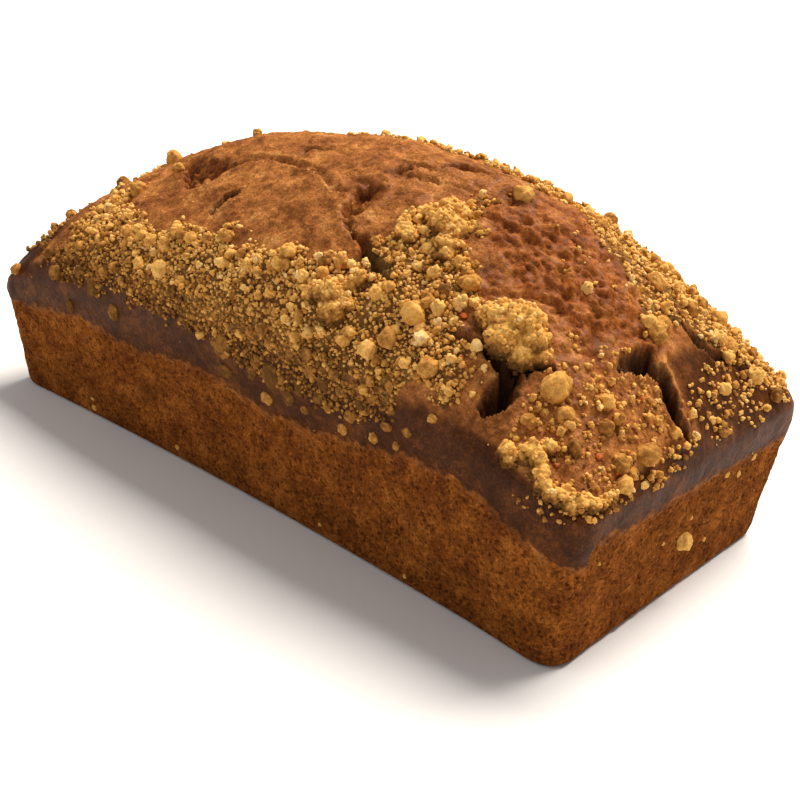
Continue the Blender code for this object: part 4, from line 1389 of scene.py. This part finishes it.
FRONT_CRUMBS = (
    (46.3, 58.6, 2.6), (42.4, 55.7, 2.1), (58.3, 56.3, 2.5), (-29.3, 55, 2.3), (35.4, 56, 1.6),
    (20.6, 57.5, 1.6), (-73, 42, 2.2), (-61.4, 45, 1.9), (-56, 43, 2.2), (-47, 38, 2.3),
    (-93.6, 37, 1.7), (-3.5, 42.5, 3.2), (14.5, 40.5, 2.9), (24, 40.5, 1.8), (31.5, 45, 1.7),
    (26.4, 50.5, 1.8), (35, 48, 1.7), (10.5, 50.8, 1.7), (7.5, 39.5, 1.7),
)
PRESSED_CRUMBS = (
    (-6.5, 49.5, 1.4, 1.0), (-2.5, 36, 1.9, 1.5), (12, 33.5, 1.5, 1.3), (19.5, 36.5, 1.5, 1.7),
    (25, 35.5, 1.3, 1.2), (30, 40.5, 1.4, 1.3), (27.5, 46, 1.3, 1.5), (33, 39, 1.1, 1.0),
    (37, 44.5, 1.4, 1.3), (40, 39.5, 1.3, 1.2), (43, 43.5, 1.3, 1.1), (43.5, 47.5, 1.3, 1.1),
    (47, 46.5, 1.1, 1.1), (47.5, 37, 1.1, 1.2), (51.5, 41.5, 1.2, 1.0), (57, 42, 0.9, 0.9),
    (54.5, 37.5, 0.8, 0.9), (38, 35, 1.1, 1.1), (-66.5, 34, 1.1, 1.6), (-52, 48.5, 1.1, 1.0),
    (63.5, 47.5, 0.9, 0.8), (-14, 47, 1.0, 0.8), (3, 48, 1.2, 0.9), (18, 47.5, 1.2, 1.0),
)
CLUMPS = {
    "clump_torn_end": (
        (66.1, -34.4, 1.5, 4.5), (69.9, -32.3, 2.2, 5.0), (73.4, -33.1, 1.5, 4.0),
        (69.1, -37, 1.2, 4.3), (73.8, -36.6, 0.7, 3.3), (63.5, -35.3, 0.9, 3.1), (76.4, -33.6, 0.3, 2.6),
    ),
    "clump_crest": (
        (40.5, -24, 1.2, 3.8), (38.3, -20, 0.8, 3.3), (41.7, -19.8, 0.8, 2.8), (36.2, -22.8, 0.6, 2.8),
        (43.6, -23.6, 0.8, 3.0), (44.3, -27.3, 0.6, 2.9), (45.7, -29.3, 0.4, 2.0),
        (32.8, -23.2, 0.4, 1.9), (30.8, -25, 0.4, 1.7), (31.2, -27.2, 0.4, 1.8),
        (32.9, -29.6, 0.5, 2.6), (35.2, -29.9, 0.5, 2.1),
    ),
    "clump_front": (
        (28, -45.6, 1.0, 4.0), (30, -47.5, 0.8, 3.5), (31.8, -46.2, 0.6, 2.6), (24.8, -45.9, 0.8, 2.9),
        (21.8, -47, 0.6, 2.1), (30, -43.9, 0.6, 2.5), (31.2, -41.9, 0.5, 2.3),
    ),
    "clump_corner": (
        (82.3, -49.9, 0.5, 2.0), (83.9, -50.4, 0.4, 1.7), (85.3, -49.2, 0.5, 1.6),
        (86.7, -47.6, 0.7, 2.2), (88.6, -45.4, 0.6, 2.1), (88.8, -48.1, 0.7, 2.0),
        (90.6, -49.2, 0.6, 2.0), (92.2, -50.2, 0.5, 1.9), (94, -50.4, 0.5, 1.9),
        (95.8, -50, 0.6, 2.0), (97.4, -49, 0.6, 2.0), (99.2, -50.2, 0.5, 1.9), (100.4, -50.6, 0.3, 1.4),
        (99.8, -47.4, 0.6, 1.9), (100.6, -45, 0.5, 1.7), (101.2, -42.8, 0.4, 1.6),
        (101.2, -41, 0.4, 1.5), (101, -39.4, 0.4, 1.6),
    ),
}
WALL_CRUMBS = (
    (-63.5, 2.8, 0.9), (-64, 5.5, 0.6), (-27, 4, 0.8), (55.5, 2.2, 0.6), (27.5, 4, 0.6),
)
END_CRUMBS = (
    (1.5, 20.5, 0.6), (13, 10.5, 0.6), (22.5, 25.5, 1.0), (28.5, 28, 1.0), (-40.5, 25.5, 0.4),
    (-10, 18, 0.5), (15, 28, 0.8),
)
FLAKES = ((76, 0.4, 2.8, 0.9), (102.2, -27, 1.5, 1.0), (-11.3, -39.9, 1.3, 0.6), (50.8, 7.3, 1.1, 0.7))
ORANGE_FLECKS = (
    (58.3, -37.8, 0.9), (95.5, -36.4, 0.9), (92.6, -16.8, 0.7), (91.3, -45.4, 0.6), (37.7, -31.8, 0.6),
    (30.5, -46.6, 0.6), (64, -44, 0.5), (99, -34.5, 0.5), (-16, -44, 0.5), (47, -24.8, 0.5),
)


class Side(Enum):
    """The sides of the loaf that a crumb can be set on."""

    CROWN = "crown"
    FRONT = "front"
    END = "end"


@dataclass
class StreuselField:
    """The streusel that lies over the loaf: scattered crumbs, and large ones set one by one."""

    form: LoafForm
    surface: Surface
    material: bpy.types.Material
    seed: int = 20
    seen_size: float = 0.92
    clump_clearance: float = 0.92
    open_hollow: float = 0.28
    stray_dust: float = 0.035
    tries: int = 4
    lobe_reach: tuple[float, float] = (0.35, 0.72)
    lobe_size: tuple[float, float] = (0.38, 0.68)
    many_lobes: int = 6
    shrunk_lobe: float = 0.86
    core_size: float = 0.78
    lobe_tone: float = 0.08
    medium_front: float = -14.0
    medium_middle: float = 24.0

    def clear(self, points: np.ndarray) -> np.ndarray:
        """Return which points lie clear of the clumps, which are pieces of their own."""
        free = np.ones(len(points), dtype=bool)
        for x, y, _, radius in itertools.chain(*CLUMPS.values()):
            foot = self.form.over(np.array([x]), np.array([y]))[0]
            free &= np.linalg.norm(points - foot, axis=1) > radius * self.clump_clearance
        return free

    def weights(self, kind: CrumbKind) -> np.ndarray:
        """Return how likely each surface point is to hold a crumb of one kind.

        Args:
            kind: The kind of crumb.

        Returns:
            One share for each point, which add up to 1.
        """
        surface = self.surface
        cover = streusel_cover(surface.points, Noise(LOAF_SEED))
        cover = np.where(surface.shares["hollow"] > self.open_hollow, 0.0, cover)
        if kind is CrumbKind.DUST:
            cover = np.maximum(cover, self.stray_dust * (surface.shares["sponge"] < 0.2))
        x, y, z = surface.points.T
        below = np.interp(x, *np.array(FRONT_UPPER_EDGE, float).T) - z
        front = (y < -20.0) & (x < 68.0)
        if kind in (CrumbKind.MEDIUM, CrumbKind.COARSE):
            near_edge = np.exp(-(np.maximum(below, 0.0) / 10.0) ** 2)
            cover = cover * np.where(front, 0.35 + 1.5 * near_edge, 0.9)
        else:
            cover = cover * np.where(front, 1.0, 0.55)
        weight = cover ** 1.4 * surface.areas * self.clear(surface.points)
        return weight / weight.sum()

    def crowded(self, point: np.ndarray, radius: float, spacing: float, key: tuple[int, int, int],
                grid: dict[tuple[int, int, int], list]) -> bool:
        """Return whether a crumb would stand too close to one that is there already.

        Args:
            point: The crumb's place.
            radius: Its radius.
            spacing: The least distance, as a share of two radii added up.
            key: The grid's cell that the crumb is in.
            grid: The places and radii of the crumbs so far, by cell.

        Returns:
            Whether it is too close.
        """
        for step in itertools.product((-1, 0, 1), repeat=3):
            cell = (key[0] + step[0], key[1] + step[1], key[2] + step[2])
            for other, other_radius in grid.get(cell, ()):
                gap = spacing * (radius + other_radius)
                flat = (point[0] - other[0]) ** 2 + (point[1] - other[1]) ** 2
                if flat + (point[2] - other[2]) ** 2 < gap * gap:
                    return True
        return False

    def scatter(self, kind: CrumbKind) -> tuple[np.ndarray, np.ndarray]:
        """Choose places for one kind of crumb.

        Args:
            kind: The kind of crumb.

        Returns:
            The numbers of the chosen surface points, and the radii.
        """
        source = np.random.default_rng(self.seed + list(CrumbKind).index(kind))
        weight = self.weights(kind)
        wanted = min(kind.count * self.tries, int((weight > 0).sum()))
        order = source.choice(len(weight), size=wanted, replace=False, p=weight)
        low, high = kind.radii
        radii = low + (high - low) * source.random(wanted) ** 1.6
        cell = 2.0 * high
        grid: dict[tuple[int, int, int], list] = {}
        numbers, sizes = [], []
        for number, radius in zip(order, radii):
            point = self.surface.points[number]
            key = tuple((point // cell).astype(int))
            if self.crowded(point, radius, kind.spacing, key, grid):
                continue
            grid.setdefault(key, []).append((point, radius))
            numbers.append(number)
            sizes.append(radius)
            if len(numbers) == kind.count:
                break
        return np.array(numbers), np.array(sizes)

    def tint(self, points: np.ndarray, source: np.random.Generator) -> np.ndarray:
        """Return each crumb's tint: more olive low on the shoulder, and darker there by painted shade."""
        # Low on the front shoulder the tint drops: partly olive crumb colour, partly painted shade under the
        # overhang
        low = 1.0 - step_up(points[:, 2], 42.0, 60.0)
        low = low * np.where(points[:, 0] < 68.0, 1.0, 0.5) * (points[:, 1] < -10.0)
        return np.clip(0.58 + 0.15 * source.standard_normal(len(points)) - 0.40 * low, 0.04, 0.86)

    def lobed(self, centres: np.ndarray, radii: np.ndarray, tints: np.ndarray, lobes: int,
              source: np.random.Generator) -> tuple[np.ndarray, np.ndarray, np.ndarray]:
        """Turn each crumb into a few balls that baked together.

        Args:
            centres: The crumbs' centres.
            radii: Their radii.
            tints: Their tints.
            lobes: The largest number of balls in a crumb.
            source: Where the random numbers come from.

        Returns:
            The balls' centres, radii and tints.
        """
        spots, sizes, tones = [], [], []
        for centre, radius, tone in zip(centres, radii, tints):
            count = int(source.integers(max(2, lobes - 2), lobes + 1))
            shrink = self.shrunk_lobe if lobes >= self.many_lobes else 1.0
            for _ in range(count):
                way = source.standard_normal(3)
                way /= np.linalg.norm(way)
                reach = source.uniform(*self.lobe_reach)
                size = shrink * source.uniform(*self.lobe_size)
                spots.append(centre + way * radius * reach)
                sizes.append(radius * size)
                tones.append(tone + self.lobe_tone * source.standard_normal())
            if lobes >= self.many_lobes:
                spots.append(centre)
                sizes.append(radius * self.core_size)
                tones.append(tone)
        return np.array(spots), np.array(sizes), np.clip(np.array(tones), 0.0, 1.0)

    def scattered(self) -> None:
        """Build the scattered crumbs, one piece for each kind."""
        maker = CrumbMaker(self.material)
        for number, kind in enumerate(CrumbKind):
            chosen, radii = self.scatter(kind)
            source = np.random.default_rng(self.seed + 50 + number)
            points = self.surface.points[chosen]
            normals = self.surface.normals[chosen]
            tints = self.tint(points, source)
            centres = points + normals * (radii * kind.raised)[:, None]
            if kind.lobes > 1:
                centres, radii, tints = self.lobed(centres, radii, tints, kind.lobes, source)
            sizes = radii[:, None] * (0.78 + 0.5 * source.random((len(radii), 3)))
            turns = source.random((len(radii), 3)) * 2.0 * math.pi
            reach = radii[:, None] * 1.15
            centres = np.clip(centres, np.array(CAD_BOUNDS[0]) / MM + reach,
                              np.array(CAD_BOUNDS[1]) / MM - reach)
            parts = {"": np.ones(len(radii), dtype=bool)}
            if kind is CrumbKind.MEDIUM:
                x, y = centres[:, 0], centres[:, 1]
                front = y < self.medium_front
                middle = np.median(x[~front])
                parts = {"_front": front & (x < self.medium_middle),
                         "_end": front & (x >= self.medium_middle),
                         "_far": ~front & (x < middle), "_far_end": ~front & (x >= middle)}
            for suffix, part in parts.items():
                piece = maker.make(kind.label + suffix, centres[part], sizes[part], turns[part],
                                   tints[part], kind.detail, 3.0 + number)
                hand_over(piece, STREUSEL_SLOT)

    def touch(self, first: float, second: float, side: Side) -> tuple[np.ndarray, np.ndarray]:
        """Return the surface point nearest to a place on one side of the loaf.

        Args:
            first: The place's x, or its y on the end.
            second: The place's y on the crown, or its height on the front and on the end.
            side: The side that the place is on.

        Returns:
            The point, and the outward direction there.
        """
        points, normals = self.surface.points, self.surface.normals
        if side is Side.CROWN:
            pair, seen = (0, 1), normals[:, 2] > 0.12
        elif side is Side.FRONT:
            pair, seen = (0, 2), (points[:, 1] < -34.0) & (normals[:, 1] < -0.2)
        else:
            pair, seen = (1, 2), (points[:, 0] > 90.0) & (normals[:, 0] > 0.3)
        distance = np.hypot(points[:, pair[0]] - first, points[:, pair[1]] - second)
        nearest = int(np.argmin(np.where(seen, distance, 1e9)))
        return points[nearest], normals[nearest]

    def lumps(self, name: str, spots: list, material: bpy.types.Material) -> None:
        """Build one piece of rough lumps of packed granules.

        Args:
            name: The piece's name.
            spots: For each lump its centre, outward direction, three half sizes and tint.
            material: The piece's material.
        """
        unit, faces = unit_ball(4)
        source = np.random.default_rng(self.seed + len(spots))
        noise = Noise(23)
        all_points, all_faces, tints = [], [], []
        low = np.array(CAD_BOUNDS[0]) / MM
        high = np.array(CAD_BOUNDS[1]) / MM
        for number, (centre, out, halves, tone) in enumerate(spots):
            side = np.cross(out, (0.0, 0.0, 1.0) if abs(out[2]) < 0.8 else (0.0, 1.0, 0.0))
            side /= np.linalg.norm(side)
            axes = np.stack([side, np.cross(out, side), out])
            stretch = np.array(halves) * (0.88 + 0.26 * source.random(3))
            radius = min(halves)
            points = (unit * stretch) @ axes + centre
            rough = 0.26 * noise.rough(points, radius * 1.3, 3, number) * radius
            granule, _ = noise.cells(points, 0.95, number)
            rough += min(0.5, 0.4 * radius) * (0.5 - granule)
            all_faces.append(faces + len(unit) * number)
            all_points.append(np.clip(points + (unit @ axes) * rough[:, None], low, high))
            # Painted shade: the gaps between the granules are tinted darker than their tops
            tints.append(tone + 0.2 * (0.5 - granule))
        piece = make_object(name, np.concatenate(all_points), np.concatenate(all_faces).tolist(),
                            material, {"crumb_tint": np.concatenate(tints)})
        hand_over(piece, STREUSEL_SLOT)

    def large(self) -> None:
        """Build the crumbs that are set one by one: large, pressed flat, stray and flaky ones."""
        source = np.random.default_rng(self.seed + 90)
        spots = []
        rows = [(row, Side.CROWN) for row in LARGE_CRUMBS] + [(row, Side.FRONT) for row in FRONT_CRUMBS]
        for (first, second, radius), side in rows:
            point, out = self.touch(first, second, side)
            tone = float(self.tint(point[None, :], source)[0])
            if side is Side.FRONT and out[2] < 0.3:
                spots.append((point, out, (radius * 0.95, radius * 1.1, 1.0), tone - 0.08))
            else:
                seen = radius * self.seen_size
                spots.append((point + out * 0.3 * seen, out, (seen, seen, seen), tone - 0.16))
        for x, z, width, height in PRESSED_CRUMBS:
            point, out = self.touch(x, z, Side.FRONT)
            tone = float(self.tint(point[None, :], source)[0])
            spots.append((point, out, (width * 1.2, height * 1.2, 0.8), tone - 0.08))
        for rows, side in ((WALL_CRUMBS, Side.FRONT), (END_CRUMBS, Side.END)):
            for first, second, radius in rows:
                point, out = self.touch(first, second, side)
                spots.append((point, out, (radius, radius, 0.4), 0.55))
        for x, y, length, width in FLAKES:
            point, out = self.touch(x, y, Side.CROWN)
            spots.append((point, out, (length, width, 0.5), 0.8))
        self.lumps("streusel_large", spots, self.material)
        flecks = []
        for x, y, radius in ORANGE_FLECKS:
            point, out = self.touch(x, y, Side.CROWN)
            flecks.append((point + out * 0.35, out, (radius, radius * 0.8, 0.4), 0.5))
        self.lumps("pumpkin_flecks", flecks, FleckFinish().material())


@dataclass
class StreuselClump:
    """One clump as large as a berry: lobes that baked together into a rough lump."""

    name: str
    form: LoafForm
    material: bpy.types.Material
    voxel: float = 0.26
    granule: float = 0.85
    lump: float = 2.4
    seed: int = 41
    stuck: float = 0.28
    stuck_raise: float = 0.25

    def joined_lobes(self) -> tuple[np.ndarray, np.ndarray, list]:
        """Join the lobes into one closed lump.

        Returns:
            The lump's points, its outward directions and its faces.
        """
        mesh = bmesh.new()
        for x, y, height, radius in CLUMPS[self.name]:
            foot = self.form.over(np.array([x]), np.array([y]))
            out = self.form.outward(foot[:, 0], foot[:, 1])[0]
            centre = foot[0] + out * height
            bmesh.ops.create_icosphere(mesh, subdivisions=4, radius=radius * MM,
                                       matrix=Matrix.Translation(Vector(centre) * MM))
        data = bpy.data.meshes.new(self.name)
        mesh.to_mesh(data)
        mesh.free()
        lump = bpy.data.objects.new(self.name + "_lobes", data)
        bpy.context.scene.collection.objects.link(lump)
        modifier = lump.modifiers.new("join", "REMESH")
        modifier.mode = "VOXEL"
        modifier.voxel_size = self.voxel * MM
        graph = bpy.context.evaluated_depsgraph_get()
        joined = bpy.data.meshes.new_from_object(lump.evaluated_get(graph))
        bpy.data.objects.remove(lump, do_unlink=True)
        bpy.data.meshes.remove(data)
        points = read_vectors(joined.vertices, "co") / MM
        normals = read_vectors(joined.vertex_normals, "vector")
        faces = [list(polygon.vertices) for polygon in joined.polygons]
        bpy.data.meshes.remove(joined)
        return points, normals, faces

    def build(self) -> None:
        """Build the clump and let it stand for its node."""
        points, normals, faces = self.joined_lobes()
        noise = Noise(self.seed)
        granule, pick = noise.cells(points, self.granule, 5)
        large, _ = noise.cells(points, self.lump, 6)
        rough = 0.7 * (0.46 - granule) + 0.8 * (0.5 - large) + 0.35 * noise.rough(points, 3.0, 3, 7)
        points = points + normals * rough[:, None]
        # Painted light and shade: the clump is tinted paler where it faces up, darker on its underside and
        # darker in the gaps between its granules
        painted_top_light = np.minimum(normals[:, 2], 0.55) - 0.45
        tint = 0.50 + 0.22 * (0.5 - granule) + 0.12 * (pick - 0.5) + 0.70 * painted_top_light
        unit, sides = unit_ball(2)
        source = np.random.default_rng(self.seed)
        count = int(len(points) * self.voxel ** 2 * self.stuck)
        chosen = source.choice(len(points), size=count, replace=False)
        grains, grain_tints = [points], [tint]
        for number, place in enumerate(chosen):
            radius = 0.32 + 0.42 * source.random() ** 2
            uneven = radius * (0.8 + 0.4 * source.random((len(unit), 1)))
            grains.append(unit * uneven + points[place] + normals[place] * self.stuck_raise * radius)
            grain_tints.append(np.full(len(unit), tint[place] + 0.1 * source.standard_normal() + 0.06))
            faces += (sides + len(points) + len(unit) * number).tolist()
        piece = make_object(self.name + "_streusel", np.concatenate(grains), faces, self.material,
                            {"crumb_tint": np.concatenate(grain_tints)})
        hand_over(piece, STREUSEL_SLOT, self.name)


def direction(azimuth: float, elevation: float) -> Vector:
    """Return the way from the bread to a place around it.

    Args:
        azimuth: The place's direction in degrees, 0 in front and 90 at the right end.
        elevation: Its angle above the floor in degrees.

    Returns:
        A unit vector.
    """
    angle, tilt = math.radians(azimuth), math.radians(elevation)
    return Vector((math.sin(angle) * math.cos(tilt), -math.cos(angle) * math.cos(tilt), math.sin(tilt)))


@dataclass
class Studio:
    """The plain floor, the soft lights and the camera at the photograph's angle."""

    azimuth: float = 39.345
    elevation: float = 23.803
    roll: float = 5.260
    distance: float = 333.763
    target: tuple[float, float, float] = (12.380, -0.402, 19.538)
    focal_pixels: float = 1216.85
    image_pixels: float = 800.0
    sensor: float = 36.0
    floor_half: float = 4.0
    floor_height: float = -0.0002
    aim_height: float = 0.03
    surround: str = "#fdfbf8"
    surround_strength: float = 0.31
    lights: tuple[tuple, ...] = (
        ("window", 176.0, 62.0, 2.2, 1.4, 92.0, "#fff7ee"),
        ("fill", 335.0, 40.0, 2.4, 1.6, 7.5, "#f8f9ff"),
    )

    def camera(self) -> None:
        """Make the camera."""
        angle, roll = math.radians(self.azimuth), math.radians(self.roll)
        back = direction(self.azimuth, self.elevation)
        right = Vector((math.cos(angle), math.sin(angle), 0.0))
        up = back.cross(right)
        turned_right = right * math.cos(roll) + up * math.sin(roll)
        turned_up = up * math.cos(roll) - right * math.sin(roll)
        data = bpy.data.cameras.new("camera")
        data.sensor_width = self.sensor
        data.lens = self.focal_pixels * self.sensor / self.image_pixels
        data.clip_start, data.clip_end = 0.01, 20.0
        camera = bpy.data.objects.new("camera", data)
        turn = Matrix((turned_right, turned_up, back)).transposed().to_4x4()
        place = (Vector(self.target) + back * self.distance) * MM
        camera.matrix_world = Matrix.Translation(place) @ turn
        bpy.context.scene.collection.objects.link(camera)
        bpy.context.scene.camera = camera

    def light(self, name: str, azimuth: float, elevation: float, distance: float, size: float,
              power: float, colour: str) -> None:
        """Make a soft square light that looks at the bread.

        Args:
            name: The light's name.
            azimuth: Its direction in degrees, 0 in front and 90 at the right end.
            elevation: Its angle above the floor in degrees.
            distance: How far away it is, in metres.
            size: Its side in metres.
            power: Its power in watts.
            colour: Its colour as an sRGB hex value.
        """
        back = direction(azimuth, elevation)
        data = bpy.data.lights.new(name, "AREA")
        data.size = size
        data.energy = power
        data.color = linear(colour)[:3]
        lamp = bpy.data.objects.new(name, data)
        lamp.location = back * distance + Vector((0.0, 0.0, self.aim_height))
        lamp.rotation_mode = "QUATERNION"
        lamp.rotation_quaternion = (-back).to_track_quat("-Z", "Y")
        bpy.context.scene.collection.objects.link(lamp)

    def build(self) -> None:
        """Make the floor, the lights, the surrounding light and the camera."""
        half, height = self.floor_half, self.floor_height
        corners = np.array([(-half, -half, height), (half, -half, height),
                            (half, half, height), (-half, half, height)])
        floor = make_object("floor", corners / MM, [(0, 1, 2, 3)], FloorFinish().material())
        for values in self.lights:
            self.light(*values)
        world = bpy.data.worlds.new("studio")
        world.use_nodes = True
        background = world.node_tree.nodes["Background"].inputs
        background["Color"].default_value = linear(self.surround)
        background["Strength"].default_value = self.surround_strength
        bpy.context.scene.world = world
        bpy.context.scene.view_settings.view_transform = "Standard"
        self.camera()


def main() -> None:
    """Build the bread and its studio in order."""
    logging.basicConfig(level=logging.INFO, format="%(name)s %(message)s")
    form = LoafForm()
    crust = CrustFinish().material()
    streusel = StreuselFinish().material()
    surface = LoafBody(form, crust).build()
    topping = StreuselField(form, surface, streusel)
    topping.scattered()
    topping.large()
    for name in CLUMPS:
        StreuselClump(name, form, streusel).build()
    Studio().build()


if __name__ == "__main__":
    main()
